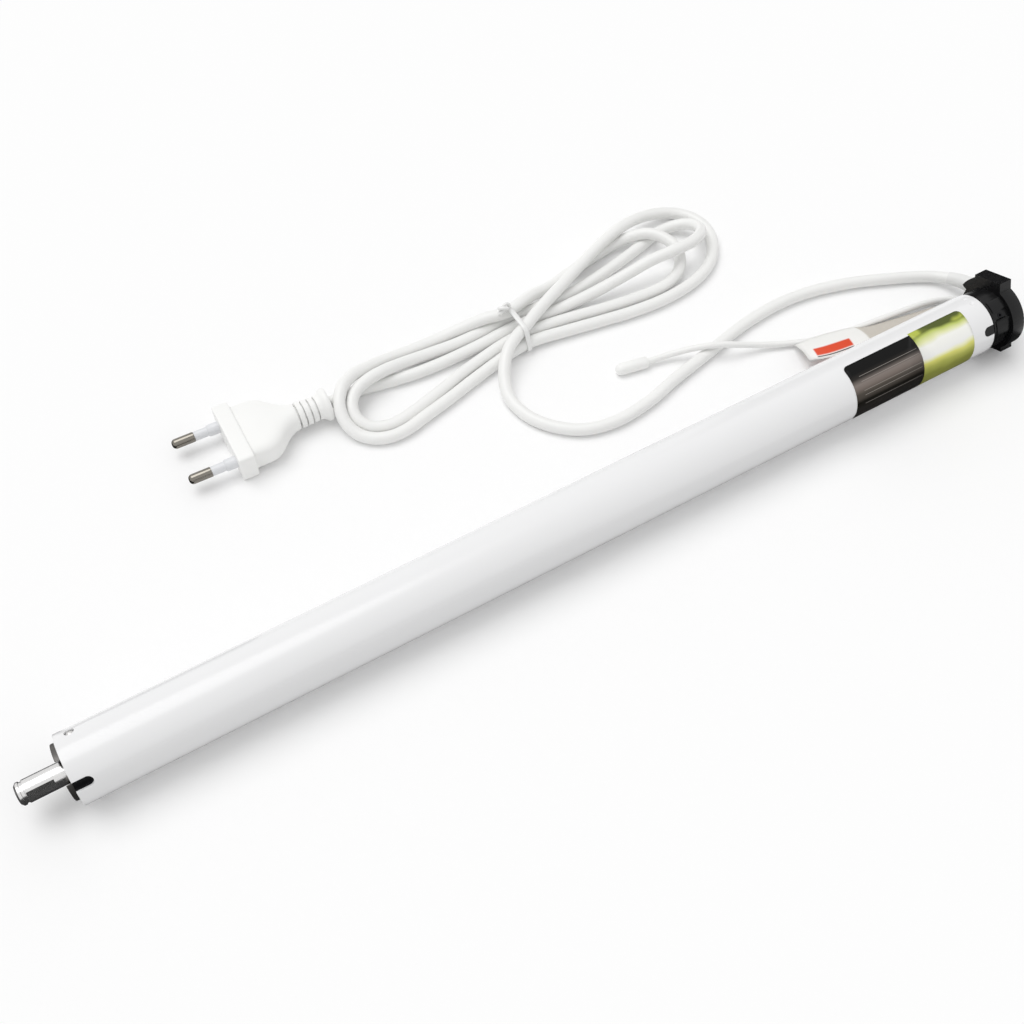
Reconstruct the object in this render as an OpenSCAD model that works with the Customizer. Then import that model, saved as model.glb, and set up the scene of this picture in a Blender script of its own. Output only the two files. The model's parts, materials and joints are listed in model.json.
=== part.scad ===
// Tubular motor for a roller blind, with its mains lead in a tied hank, its plug and its aerial.
// The tube lies along X with the output shaft at -X and the head at +X; +Z is up and z = 0 is the table.

/* [Tube] */
// Outside diameter of the motor tube
tube_d = 25; // [24.6:0.1:25.4]
// Length of the motor tube
tube_l = 378; // [350:1:420]
// Wall of the motor tube
tube_wall = 1; // [0.8:0.1:1.1]
// Width of the open slot at each end of the tube
slot_w = 4; // [3:0.2:5]
// Length of the slot at the shaft end
front_slot_l = 6.4; // [5:0.2:7]
// Length of the slot at the head end
rear_slot_l = 4.8; // [4:0.2:6]
// Angle of both slots round the axis, from +Y towards +Z
slot_angle = 146; // [140:1:152]
// Distance of the front screws from the tube's end
tube_screw_x = 5.3; // [4.6:0.1:5.8]
// Thread diameter of the front screws
tube_screw_d = 2; // [1.6:0.1:2.2]

/* [Output shaft] */
// Diameter of the output shaft
shaft_d = 8; // [7:0.1:8.4]
// Length of shaft that stands out of the tube
shaft_out = 17; // [15:0.5:22]
// Width of the clip groove near the tip
groove_w = 1; // [0.8:0.1:1.2]
// Depth of the clip groove
groove_depth = 0.4; // [0.3:0.05:0.6]
// Land between the tip and the clip groove
groove_land = 1.7; // [1.5:0.1:2.2]
// Length of the milled flat
flat_l = 9; // [7:0.5:9]
// Depth of the milled flat
flat_depth = 0.4; // [0.3:0.02:0.4]
// Outside diameter of the shaft's bush
bush_d = 12; // [11:0.2:13]

/* [Gearbox] */
// Wall of the ring gear behind its tooth gaps
ring_wall = 1.34; // [1.1:0.02:1.6]
// Face width of the slow stage
slow_face = 7; // [5:0.5:9]
// Face width of the fast stage
fast_face = 5; // [4:0.5:8]
// Diameter of the planet pins
pin_d = 2; // [1.6:0.1:2.4]
// Thickness of the planet carriers
carrier_t = 3.6; // [2.6:0.2:5]
// Depth of the front plate inside the tube
plate_depth = 8; // [8:0.5:12]
// Length of the front plate's boss outside the tube
plate_out = 2; // [1.4:0.2:3]
// Diameter of the front plate's boss
plate_boss_d = 20; // [18:0.5:22]
// Thickness of the plate behind the gears
rear_plate_t = 4; // [3:0.5:6]

/* [Brake and motor] */
// Travel of the brake's armature plate
brake_travel = 0.4; // [0.3:0.05:0.6]
// Thickness of the brake's armature plate
armature_t = 2; // [1.5:0.1:3]
// Thickness of the brake disc
brake_disc_t = 2.4; // [2:0.1:3]
// Diameter of the brake disc
brake_disc_d = 16; // [14:0.5:18]
// Length of the brake's coil
coil_l = 10; // [8:0.5:14]
// Length of the stator's core
stator_l = 40; // [32:1:52]
// Diameter of the rotor
rotor_d = 10; // [9:0.2:10.4]
// Diameter of the rotor's shaft
rotor_shaft_d = 2.5; // [2.2:0.1:2.7]
// Outside diameter of the rotor's bearings
bearing_d = 7; // [6:0.2:7.2]
// Width of the rotor's bearings
bearing_w = 3; // [2.5:0.1:3.4]
// Number of winding slots in the stator
stator_slots = 12; // [9:3:12]

/* [Electronics] */
// Diameter of the capacitor
cap_d = 17; // [14:0.5:18]
// Length of the capacitor
cap_l = 34; // [28:1:40]
// Wall of the tray that carries the board
tray_wall = 1; // [0.8:0.1:1.2]
// Thickness of the control board
board_t = 1.6; // [1:0.1:1.8]
// Depth of the control board below the axis
board_drop = 4; // [3.4:0.1:5]

/* [Head] */
// Depth of the head's plug in the tube
plug_in = 26; // [20:1:34]
// Diameter of the journal that the crown turns on
journal_d = 16; // [15:0.2:17]
// Gap between the tube and the crown
crown_gap = 0.8; // [0.5:0.1:1.2]
// Length of the crown's neck
neck_l = 7.6; // [6.6:0.2:9]
// Diameter of the crown's flange
crown_d = 28; // [27:0.1:29]
// Width of the crown's flange
crown_w = 5.8; // [5:0.1:7]
// Distance from the axis to the top of the crown's main key
key_top = 16.5; // [16:0.1:17]
// Width of the crown's main key
key_w = 13.2; // [11:0.2:14]
// Diameter of the end cap
cap_end_d = 19; // [18.6:0.2:20]
// Thickness of the end cap's disc
cap_disc_t = 2; // [1.6:0.1:2.6]
// Length of the outlet block on the end cap
cap_end_l = 10.4; // [10:0.2:13]
// Distance between the two threaded holes in the end cap
bracket_pitch = 12; // [11:0.2:13]
// Diameter of the threaded holes in the end cap
bracket_hole_d = 2.5; // [2:0.1:2.6]
// Depth of the threaded holes in the end cap
bracket_hole_depth = 6; // [4:0.5:8]

/* [Labels] */
// Thickness of the labels
label_t = 0.12; // [0.08:0.01:0.2]
// Length of the dark label along the tube
dark_label_l = 33; // [26:0.5:40]
// Length of the light label along the tube
light_label_l = 25.5; // [20:0.5:32]
// Distance from the light label to the head end of the tube
label_inset = 10.5; // [8:0.5:16]

/* [Mains lead] */
// Diameter of the mains lead
cord_d = 5; // [4.6:0.1:5.2]
// Lengthwise reach of the hank's outer loop towards the head
hank_reach = 101; // [92:1:110]
// Lengthwise reach of the hank's outer loop towards the plug
hank_back = 84; // [78:1:88]
// Half width of the hank's loops on the head side
hank_half = 21; // [20:0.5:23]
// Half width of the hank's loops on the plug side
hank_half_back = 19; // [18:0.5:20]
// Half width of the hank where the tie draws it in
hank_waist = 10; // [9.8:0.1:11]

/* [Plug] */
// Width of the plug's front flange
plug_w = 29; // [27:0.5:35]
// Height of the plug
plug_h = 13; // [12:0.2:14]
// Diameter of the plug's pins
plug_pin_d = 4; // [3.8:0.05:4.1]
// Length of the plug's pins in front of the flange
plug_pin_l = 19; // [18:0.2:20]
// Length of the insulated part of each pin
plug_sleeve_l = 10; // [8:0.5:12]
// Distance between the pins
plug_pitch = 18.6; // [17.5:0.1:19.2]

/* [Aerial] */
// Diameter of the aerial wire
aerial_d = 2.2; // [2:0.1:2.4]
// Diameter of the aerial's end cap
aerial_cap_d = 5; // [4:0.2:6]
// Length of the aerial's end cap
aerial_cap_l = 14; // [10:0.5:18]
// Thickness of the flag on the aerial
flag_t = 0.6; // [0.4:0.1:0.8]

/* [Hidden] */
$fn = 96;
// Overrun of a cut past the face that it opens
over = 0.5;
// Clearance of the pieces that slide into the tube
seat_gap = 0.1;
// Radial clearance of a shaft or pin in its bore
run_fit = 0.05;
// Radial clearance of a pressed piece
press_gap = 0.02;
// Axial clearance between pieces that turn
axial_gap = 0.6;
// Radial clearance of a shaft where it only passes through
pass_gap = 0.4;
// Length of a planet pin past its planet
pin_over = 0.4;
// Step from the free shaft up to its journal in the bush
journal_step = 0.5;
// Step from the tube's surface down to the crown's neck
neck_step = 0.5;
// Least gap between two strands of the lead
strand_gap = 0.7;

tube_r = tube_d / 2;
bore_r = tube_r - tube_wall;
seat_r = bore_r - seat_gap;
shaft_r = shaft_d / 2;
neck_d = tube_d - 2 * neck_step;
journal_r = shaft_r + journal_step;
cord_r = cord_d / 2;
aerial_r = aerial_d / 2;
axis_z = crown_d / 2;

// Gear data: a fixed ring, three planets and a sun in each stage
sun_teeth = 12;
planet_teeth = 18;
ring_teeth = sun_teeth + 2 * planet_teeth;
planet_angles = [90, 210, 330];
pressure_angle = 25;
addendum = 0.8;
dedendum = 1.15;
backlash = 0.1;
flank_steps = 4;
gear_module = (seat_r - ring_wall) / (ring_teeth / 2 + dedendum);
orbit_r = gear_module * (sun_teeth + planet_teeth) / 2;
carrier_r = gear_module * (ring_teeth / 2 - addendum) - axial_gap;

// Stations along the tube, measured from its shaft end
slow_disc_x = plate_depth + axial_gap;
slow_planet_x = slow_disc_x + carrier_t + axial_gap;
fast_disc_x = slow_planet_x + slow_face + pin_over + axial_gap;
fast_planet_x = fast_disc_x + carrier_t + axial_gap;
gear_end_x = fast_planet_x + fast_face + pin_over + axial_gap;
brake_x = gear_end_x + rear_plate_t + axial_gap;
armature_x = brake_x + brake_disc_t + seat_gap;
coil_x = armature_x + armature_t + brake_travel + seat_gap;
bell_x = coil_x + coil_l;
bell_t = 4;
end_turn_l = 5;
bell_rim = end_turn_l + axial_gap;
stator_x = bell_x + bell_t + bell_rim;
motor_end_x = stator_x + stator_l + bell_rim + bell_t;
head_x = tube_l - plug_in;
crown_x = tube_l + crown_gap;
flange_x = crown_x + neck_l;
cap_end_x = flange_x + crown_w + axial_gap;
head_end_x = cap_end_x + cap_end_l;
x_mid = (head_end_x - shaft_out) / 2;

// Electronics
tray_x = motor_end_x + axial_gap;
tray_r = seat_r - tray_wall;
cap_x = tray_x + 2;
board_x = cap_x + cap_l + 4;
board_l = head_x - 3 - board_x;
board_top = board_t - board_drop;
board_half = sqrt(tray_r * tray_r - board_drop * board_drop) - seat_gap;
lead_wire_d = 1.2;
lead_z = cap_d - tray_r + lead_wire_d;

// Head details
crown_angle = 66;
bracket_angle = 20;
cap_screw_d = 2.2;
cap_screw_angles = [bracket_angle + 45, bracket_angle + 130];
cap_screw_r = journal_d / 2 - 2.9;
head_bore_r = 3.6;
magnet_w = 2;
magnet_wall = 1.6;
neck_screw_angle = 127;
gland_r = cord_r + 1.1;
aerial_bush_r = aerial_r + 0.5;
cap_face_x = cap_end_x + cap_disc_t;
// Outlet block: its sides across Y, its underside and top above the table, and its corner radius
outlet_y = [-2.5, 9.6];
outlet_z = [3.5, 13];
outlet_round = 1.2;

// Places on the table
hank_pos = [28, 97];
hank_turn = 6.5;
plug_pos = [-97, 101.5];
plug_turn = 3;
plug_len = 42;
exit_x = cap_end_x + cap_end_l / 2 - x_mid;

// Hank: loops spiral in on top, step down at the far end and spiral out on the table
hank_loops = 2.5;
loop_rings = 24;
hank_sides = 6;
waist_step = cord_d + 1;
wide_step = cord_d + 1.2;
reach_step = cord_d + 1;
layer_step = cord_d + strand_gap;
drop_from = 1.05;
drop_to = 1.45;
tie_t = 0.8;
tie_w = 2.4;
tie_gap = 0.3;
waist_lift = tie_t + tie_gap;

// Route of the lead from the head to the hank, on the table
lead_route = [
    [exit_x, 4, 8.2], [exit_x, 10, 8.2], [exit_x, 16, 8.2], [exit_x, 19, 8], [204.2, 24, 6.7],
    [202.6, 29, 4.7],
    [199, 34, 3.1], [192, 38.5, 2.6], [182, 43, 2.6], [167, 49, 2.6], [150, 53.5, 2.6],
    [133, 55, 2.6], [113, 53, 2.6], [92, 48, 2.6], [71, 43, 2.6], [57, 39, 2.6],
    [41, 37, 2.6], [27.5, 39.5, 2.6], [17.5, 46.5, 2.6], [11, 56, 2.7], [8.8, 66, 3.4],
    [9.4, 73.5, 5], [12.4, 79.6, 7], [17.8, 84.4, 9]
];
// Way points of the tail from the hank's waist to the plug, along and across the hank
tail_route = [[-14, 10.9, 3.2], [-28, 14.4, 2.6], [-42, 18.4, 2.6], [-55, 20.9, 3.1], [-66, 20, 4.7]];
// Route of the aerial wire from the head to its end cap, over the lead
aerial_route = [
    [exit_x, -0.5, 6.1], [exit_x, 1, 4.6], [exit_x, 2.5, 3.1], [exit_x, 3.7, 2.25], [exit_x - 0.1, 5.4, 1.9],
    [exit_x - 0.6, 9, 1.9], [exit_x - 1.7, 13.5, 1.9], [200, 18.5, 1.9],
    [194, 21.5, 1.9], [186, 22.5, 1.9], [174, 22.5, 1.9], [160, 25, 1.9], [146, 29, 1.9],
    [133, 33.5, 1.9], [122, 38.5, 2.4], [112, 43.5, 4.8], [102, 48.5, 6.8], [93, 52.5, 6.4],
    [83, 55.5, 4], [75, 57.5, 2.6], [69, 58.5, 2.5]
];

// Placing helpers

// Children are drawn round the tube's axis: local x, y and z become Y, Z and X
module on_axis(x = 0) {
    translate([x - x_mid, 0, axis_z]) rotate(a = 120, v = [1, 1, 1]) children();
}

// Children are drawn along +z, which points away from the axis at this station and angle
module radial(x, angle) {
    on_axis(x) rotate([0, 0, angle]) rotate([0, 90, 0]) children();
}

// A plain tube or rod on the axis
module barrel(x, len, r_out, r_in = 0) {
    on_axis(x) difference() {
        cylinder(h = len, r = r_out);
        if (r_in > 0) translate([0, 0, -over]) cylinder(h = len + 2 * over, r = r_in);
    }
}

// A box above the axis line: x station, length, width across Y, height and its lowest z from the axis
module axis_box(x, len, wide, tall, z_low) {
    translate([x - x_mid, -wide / 2, axis_z + z_low]) cube([len, wide, tall]);
}

// A slot through the tube's wall, from its open end to its round end
module end_slot(x_open, x_round, wide, r_low, r_high) {
    radial(x_round, slot_angle) translate([0, 0, r_low]) cylinder(h = r_high - r_low, d = wide);
    x_low = min(x_open, x_round);
    on_axis(x_low) rotate([0, 0, slot_angle])
        translate([r_low, -wide / 2, 0]) cube([r_high - r_low, wide, abs(x_open - x_round)]);
}

// A pie slice of a ring, as a 2D outline
module slice_2d(r, from, to) {
    intersection() {
        circle(r = r);
        polygon([[0, 0], for (i = [0:4]) 2 * r * [cos(from + (to - from) * i / 4), sin(from + (to - from) * i / 4)]]);
    }
}

// Gears

function involute(a) = tan(a) * 180 / PI - a;

// One gear outline: tooth tips at r_tip, roots at r_root, teeth thinned by play at the pitch circle
module gear_2d(teeth, r_tip, r_root, play) {
    r_pitch = gear_module * teeth / 2;
    r_base = r_pitch * cos(pressure_angle);
    half = 90 / teeth - play / 2 / r_pitch * 180 / PI + involute(pressure_angle);
    r_start = max(r_base, r_root);
    flank = [for (i = [0:flank_steps]) r_start + (r_tip - r_start) * i / flank_steps];
    spread = [for (r = flank) half - involute(acos(min(1, r_base / r)))];
    one = concat(
        [[r_root, -spread[0]]],
        [for (i = [0:flank_steps]) [flank[i], -spread[i]]],
        [for (i = [flank_steps:-1:0]) [flank[i], spread[i]]],
        [[r_root, spread[0]]]
    );
    first = r_start > r_root + 0.001 ? 0 : 1;
    polygon([for (k = [0:teeth - 1]) for (i = [first:len(one) - 1 - first])
        one[i][0] * [cos(one[i][1] + k * 360 / teeth), sin(one[i][1] + k * 360 / teeth)]]);
}

module outer_gear_2d(teeth) {
    r_pitch = gear_module * teeth / 2;
    gear_2d(teeth, r_pitch + addendum * gear_module, r_pitch - dedendum * gear_module, backlash);
}

// One planet at rest, with a tooth gap towards the sun
module planet(x, face, angle) {
    color("gainsboro") on_axis(x) rotate([0, 0, angle]) translate([orbit_r, 0, 0])
        rotate([0, 0, 180 - 180 / planet_teeth]) difference() {
            linear_extrude(face) outer_gear_2d(planet_teeth);
            translate([0, 0, -over]) cylinder(h = face + 2 * over, r = pin_d / 2 + run_fit);
        }
}

// A carrier disc with its three planet pins
module carrier_disc(x, face) {
    pin_l = carrier_t + axial_gap + face + pin_over;
    barrel(x, carrier_t, carrier_r);
    on_axis(x) for (a = planet_angles) rotate([0, 0, a]) translate([orbit_r, 0, 0])
        cylinder(h = pin_l, d = pin_d);
}

// Tube and gearbox

module motor_tube() {
    color("white") difference() {
        barrel(0, tube_l, tube_r, bore_r);
        end_slot(-over, front_slot_l - slot_w / 2, slot_w, bore_r - over, tube_r + over);
        end_slot(tube_l + over, tube_l - rear_slot_l + slot_w / 2, slot_w, bore_r - over, tube_r + over);
        for (a = tube_screw_angles) radial(tube_screw_x, a) translate([0, 0, bore_r - over])
            cylinder(h = tube_wall + 2 * over, d = tube_head_d + 2 * seat_gap);
        for (a = crimp_angles) radial(tube_l - crimp_inset, a) translate([0, 0, tube_r + crimp_d / 4])
            sphere(d = crimp_d);
    }
}
tube_screw_angles = [57, 237];
crimp_angles = [67, 84];
crimp_inset = 3.5;
crimp_d = 2;
tube_head_d = tube_screw_d + 1.2;

module front_plate() {
    color("dimgray") difference() {
        union() {
            barrel(0, plate_depth, seat_r);
            barrel(-plate_out, plate_out, plate_boss_d / 2);
        }
        barrel(-plate_out - over, plate_depth + plate_out + 2 * over, bush_d / 2 + press_gap);
        for (a = tube_screw_angles) radial(tube_screw_x, a) translate([0, 0, tube_screw_in])
            cylinder(h = seat_r, d = tube_screw_d);
    }
}
tube_screw_in = bush_d / 2 + 1.4;

module tube_screws() {
    socket_d = tube_screw_d * 0.5;
    color("silver") for (a = tube_screw_angles) radial(tube_screw_x, a) difference() {
        union() {
            translate([0, 0, tube_screw_in + seat_gap])
                cylinder(h = bore_r - tube_screw_in, d = tube_screw_d - 2 * press_gap);
            translate([0, 0, bore_r]) cylinder(h = tube_wall - seat_gap, d = tube_head_d);
        }
        translate([0, 0, bore_r + tube_wall / 2]) cylinder(h = tube_wall, d = socket_d, $fn = 6);
    }
}

module shaft_bush() {
    color("peru") barrel(-plate_out, plate_depth + plate_out, bush_d / 2, journal_r + run_fit);
}

module output_shaft() {
    chamfer = 0.8;
    groove_x = -shaft_out + groove_land;
    flat_x = groove_x + groove_w + 0.3;
    color("silver") {
        difference() {
            on_axis(0) rotate_extrude() polygon([
                [0, -shaft_out], [shaft_r - chamfer, -shaft_out], [shaft_r, -shaft_out + chamfer],
                [shaft_r, groove_x], [shaft_r - groove_depth, groove_x],
                [shaft_r - groove_depth, groove_x + groove_w], [shaft_r, groove_x + groove_w],
                [shaft_r, -plate_out], [journal_r, -plate_out], [journal_r, slow_disc_x], [0, slow_disc_x]
            ]);
            on_axis(flat_x) rotate([0, 0, shaft_flat_angle])
                translate([shaft_r - flat_depth, -shaft_r, 0]) cube([shaft_r, shaft_d, flat_l]);
        }
        carrier_disc(slow_disc_x, slow_face);
    }
}
shaft_flat_angle = 150;

module ring_gear() {
    r_pitch = gear_module * ring_teeth / 2;
    len = gear_end_x - plate_depth;
    color("lightgray") on_axis(plate_depth) difference() {
        cylinder(h = len, r = seat_r);
        translate([0, 0, -over]) rotate([0, 0, 180 / ring_teeth]) linear_extrude(len + 2 * over)
            gear_2d(ring_teeth, r_pitch + dedendum * gear_module, r_pitch - addendum * gear_module, -backlash);
    }
}

module fast_carrier() {
    color("lightgray") {
        on_axis(slow_planet_x) linear_extrude(fast_disc_x - slow_planet_x) outer_gear_2d(sun_teeth);
        carrier_disc(fast_disc_x, fast_face);
    }
}

module sun_pinion() {
    len = fast_face + pin_over;
    color("goldenrod") on_axis(fast_planet_x) difference() {
        linear_extrude(len) outer_gear_2d(sun_teeth);
        translate([0, 0, -over]) cylinder(h = len + 2 * over, r = rotor_shaft_d / 2 + press_gap);
    }
}

module rear_plate() {
    color("dimgray") barrel(gear_end_x, rear_plate_t, seat_r, rotor_shaft_d / 2 + pass_gap);
}

// Brake and motor

module brake_disc() {
    color("saddlebrown") barrel(brake_x, brake_disc_t, brake_disc_d / 2, rotor_shaft_d / 2 + press_gap);
}

module brake_armature() {
    color("slategray") barrel(armature_x, armature_t, seat_r - pass_gap, rotor_shaft_d / 2 + pass_gap);
}

module brake_coil() {
    color("sienna") barrel(coil_x, coil_l, seat_r, rotor_shaft_d / 2 + pass_gap);
}

// A motor end bell: a disc with a rim towards the stator and a pocket for its bearing
module end_bell(x, flip) {
    on_axis(x) rotate([flip ? 180 : 0, 0, 0]) difference() {
        cylinder(h = bell_t + bell_rim, r = seat_r);
        translate([0, 0, bell_t]) cylinder(h = bell_rim + over, r = seat_r - 1);
        translate([0, 0, bell_t - bearing_w]) cylinder(h = bearing_w + over, d = bearing_d + 2 * press_gap);
        translate([0, 0, -over]) cylinder(h = bell_t + over, r = rotor_shaft_d / 2 + pass_gap);
    }
}

module motor_front_bell() { color("gray") end_bell(bell_x, false); }

module motor_rear_bell() { color("gray") end_bell(motor_end_x, true); }

module rotor_bearings() {
    color("silver") {
        barrel(bell_x + bell_t - bearing_w, bearing_w, bearing_d / 2, rotor_shaft_d / 2 + run_fit);
        barrel(motor_end_x - bell_t, bearing_w, bearing_d / 2, rotor_shaft_d / 2 + run_fit);
    }
}

stator_bore_r = rotor_d / 2 + pass_gap;
winding_orbit = (stator_bore_r + seat_r) / 2 + 0.2;
winding_d = 2.4;

module stator_core() {
    color("dimgray") on_axis(stator_x) difference() {
        cylinder(h = stator_l, r = seat_r);
        translate([0, 0, -over]) cylinder(h = stator_l + 2 * over, r = stator_bore_r);
        for (k = [0:stator_slots - 1]) rotate([0, 0, k * 360 / stator_slots]) {
            translate([winding_orbit, 0, -over]) cylinder(h = stator_l + 2 * over, d = winding_d + 2 * seat_gap);
            translate([stator_bore_r - over, -over, -over])
                cube([winding_orbit - stator_bore_r + over, 2 * over, stator_l + 2 * over]);
        }
    }
}

module stator_windings() {
    ring_low = winding_orbit - winding_d / 2;
    ring_high = winding_orbit + winding_d / 2;
    color("chocolate") {
        barrel(stator_x - end_turn_l, end_turn_l, ring_high, ring_low);
        barrel(stator_x + stator_l, end_turn_l, ring_high, ring_low);
        on_axis(stator_x - over) for (k = [0:stator_slots - 1]) rotate([0, 0, k * 360 / stator_slots])
            translate([winding_orbit, 0, 0]) cylinder(h = stator_l + 2 * over, d = winding_d - pass_gap);
    }
}

module rotor_core() {
    color("darkslategray") barrel(stator_x + over, stator_l - 2 * over, rotor_d / 2, rotor_shaft_d / 2 + press_gap);
}

module rotor_shaft() {
    color("silver") barrel(fast_planet_x, motor_end_x - axial_gap - fast_planet_x, rotor_shaft_d / 2);
}

// Electronics

module board_tray() {
    color("darkgray") difference() {
        barrel(tray_x, head_x - tray_x, seat_r, tray_r);
        axis_box(tray_x - over, head_x - tray_x + 2 * over, 2 * tube_d, tube_d, board_top);
    }
}

module run_capacitor() {
    lid = 1.4;
    color("whitesmoke") translate([0, 0, -(tray_r - cap_d / 2 - seat_gap)]) {
        barrel(cap_x, cap_l - lid, cap_d / 2);
        barrel(cap_x + cap_l - lid, lid, cap_d / 2 - lid);
    }
}

module control_board() {
    color("darkgreen") axis_box(board_x, board_l, 2 * board_half, board_t, -board_drop);
}

module power_transformer() {
    color("gold") axis_box(board_x + 12, 24, 14, 9.4, board_top);
    color("black") axis_box(board_x + 15, 18, 11, 10.4, board_top);
}

module relays() {
    color("royalblue") for (k = [0:1]) axis_box(board_x + 44 + 19 * k, 15.5, 11, 9, board_top);
}

module radio_module() {
    color("seagreen") axis_box(board_x + board_l - 48, 20, 12, 1.2, board_top);
    color("silver") axis_box(board_x + board_l - 45, 12, 9, 3, board_top);
}

module terminal_block() {
    color("green") difference() {
        axis_box(board_x + board_l - 16, 12, 12, 8, board_top);
        for (s = [-1, 1]) translate([board_x + board_l - 10 - x_mid, s * 3, axis_z + board_top + 5])
            cylinder(h = 4, d = 3);
    }
}

// Three wires from the motor over the capacitor and down to the board
module motor_leads() {
    wire_end = board_x + 4;
    color("firebrick") for (s = [-1:1]) translate([-x_mid, s * 2.4, axis_z + lead_z]) {
        translate([motor_end_x, 0, 0]) rotate([0, 90, 0]) cylinder(h = wire_end - motor_end_x, d = lead_wire_d);
        translate([wire_end, 0, 0]) sphere(d = lead_wire_d);
        translate([wire_end, 0, board_top - lead_z]) cylinder(h = lead_z - board_top, d = lead_wire_d);
    }
}

// Head

module head_plug() {
    color([0.08, 0.08, 0.09]) difference() {
        union() {
            barrel(head_x, plug_in, seat_r);
            barrel(tube_l, cap_end_x - tube_l, journal_d / 2);
            end_slot(tube_l, tube_l - rear_slot_l + slot_w / 2, slot_w - 4 * seat_gap, seat_r - 1, tube_r - seat_gap);
        }
        barrel(head_x - over, cap_end_x - head_x + 2 * over, head_bore_r);
        for (a = cap_screw_angles) on_axis(cap_end_x - cap_screw_l - 1) rotate([0, 0, a])
            translate([cap_screw_r, 0, 0]) cylinder(h = cap_screw_l + 1 + over, d = cap_screw_d);
        bracket_holes(bracket_hole_depth);
    }
}

// Small key of the crown: its place across, its width and its drop below the flange's edge
foot_key = [7.8, 6.1, 0.4];

// The crown's outline: a round flange, its main key, a shoulder beside it and a small key opposite
module crown_2d() {
    circle(d = crown_d);
    rotate([0, 0, crown_angle]) translate([0, -key_w / 2]) square([key_top, key_w]);
    slice_2d(key_top, crown_angle - 54, crown_angle - 20);
    rotate([0, 0, crown_angle + 180]) translate([0, -foot_key[0]]) square([crown_d / 2 - foot_key[2], foot_key[1]]);
}

module crown() {
    pad_r = neck_d / 2 + 0.4;
    crown_bore = journal_d / 2 + run_fit;
    color([0.05, 0.05, 0.06]) difference() {
        union() {
            barrel(crown_x, neck_l, neck_d / 2);
            on_axis(crown_x + 1) linear_extrude(neck_l - 1) {
                slice_2d(pad_r, neck_screw_angle - 32, neck_screw_angle - 9);
                slice_2d(pad_r, neck_screw_angle + 9, neck_screw_angle + 40);
            }
            on_axis(flange_x) linear_extrude(crown_w) crown_2d();
        }
        barrel(crown_x - over, neck_l + crown_w + 2 * over, crown_bore);
        barrel(crown_x - over, magnet_w + over, crown_bore + magnet_wall + press_gap);
        radial(crown_x + neck_l / 2, neck_screw_angle) translate([0, 0, neck_screw_in])
            cylinder(h = neck_d, d = neck_screw_d);
    }
}
neck_screw_d = 2.2;
neck_screw_in = journal_d / 2 + 1.2;

module crown_screw() {
    socket_d = neck_screw_d * 0.5;
    color("dimgray") radial(crown_x + neck_l / 2, neck_screw_angle) difference() {
        translate([0, 0, neck_screw_in + seat_gap])
            cylinder(h = neck_d / 2 - neck_screw_in, d = neck_screw_d - 2 * press_gap);
        translate([0, 0, neck_d / 2 - 1]) cylinder(h = 2, d = socket_d, $fn = 6);
    }
}

module sensor_magnet() {
    r_in = journal_d / 2 + run_fit;
    color("darkslategray") barrel(crown_x, magnet_w, r_in + magnet_wall, r_in);
}

// Children are drawn along +z, which runs from the first point of a route to the second
module along_exit(from, to) {
    step = to - from;
    translate(from) rotate([-atan2(step[1], step[2]), 0, 0]) children();
}

module end_cap() {
    wide = outlet_y[1] - outlet_y[0];
    tall = outlet_z[1] - outlet_z[0];
    color([0.06, 0.06, 0.07]) difference() {
        union() {
            barrel(cap_end_x, cap_disc_t, cap_end_d / 2);
            translate([cap_end_x - x_mid, outlet_y[0], outlet_z[0]])
                rotate([90, 0, 90]) linear_extrude(cap_end_l) {
                    translate([outlet_round, outlet_round]) offset(r = outlet_round)
                        square([wide - 2 * outlet_round, tall - 2 * outlet_round]);
                    translate([0, tall / 2]) square([wide, tall / 2]);
                }
        }
        translate([cap_end_x - over - x_mid, -0.5, outlet_z[0] + 3])
            cube([cap_end_l - tray_wall, 5, tall - 3 - tray_wall]);
        along_exit(lead_route[0], lead_route[1]) cylinder(h = cap_end_d, r = gland_r + press_gap);
        along_exit(aerial_route[0], aerial_route[1]) cylinder(h = cap_end_d, r = aerial_bush_r + press_gap);
        bracket_holes(cap_disc_t + over);
        for (a = cap_screw_angles) on_axis(cap_end_x - over) rotate([0, 0, a]) translate([cap_screw_r, 0, 0]) {
            cylinder(h = cap_disc_t + 2 * over, d = cap_screw_d + 2 * seat_gap);
            translate([0, 0, cap_disc_t - 1 + over]) cylinder(h = 2, d = cap_screw_d + 1.8);
        }
    }
}

// The two threaded holes, from the cap's face down to a depth
module bracket_holes(depth) {
    for (a = [bracket_angle, bracket_angle + 180]) on_axis(cap_face_x - depth) rotate([0, 0, a])
        translate([bracket_pitch / 2, 0, 0]) cylinder(h = depth + over, d = bracket_hole_d);
}

module end_cap_screws() {
    head_h = 0.8;
    color("silver") for (a = cap_screw_angles) on_axis(cap_end_x) rotate([0, 0, a]) translate([cap_screw_r, 0, 0])
        difference() {
            union() {
                translate([0, 0, -cap_screw_l]) cylinder(h = cap_screw_l + cap_disc_t - 1, d = cap_screw_d - 2 * press_gap);
                translate([0, 0, cap_disc_t - 1]) cylinder(h = head_h, d = cap_screw_d + 1.4);
            }
            translate([0, 0, cap_disc_t - 1]) cylinder(h = 2, d = cap_screw_d * 0.5, $fn = 6);
        }
}
cap_screw_l = 7;

// A bush round a cord: a plain shank in the cap, a lip on its surface and a taper outside
module exit_bush(from, to, r_out, r_in, shank, lip, taper) {
    rim = [[r_out + lip, shank], [r_out + lip, shank + lip], [r_out, shank + 2 * lip]];
    along_exit(from, to) rotate_extrude() polygon(concat(
        [[r_in, 0], [r_out, 0], [r_out, shank]], lip > 0 ? rim : [],
        [[(r_in + r_out) / 2, shank + taper], [r_in, shank + taper]]
    ));
}

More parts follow.
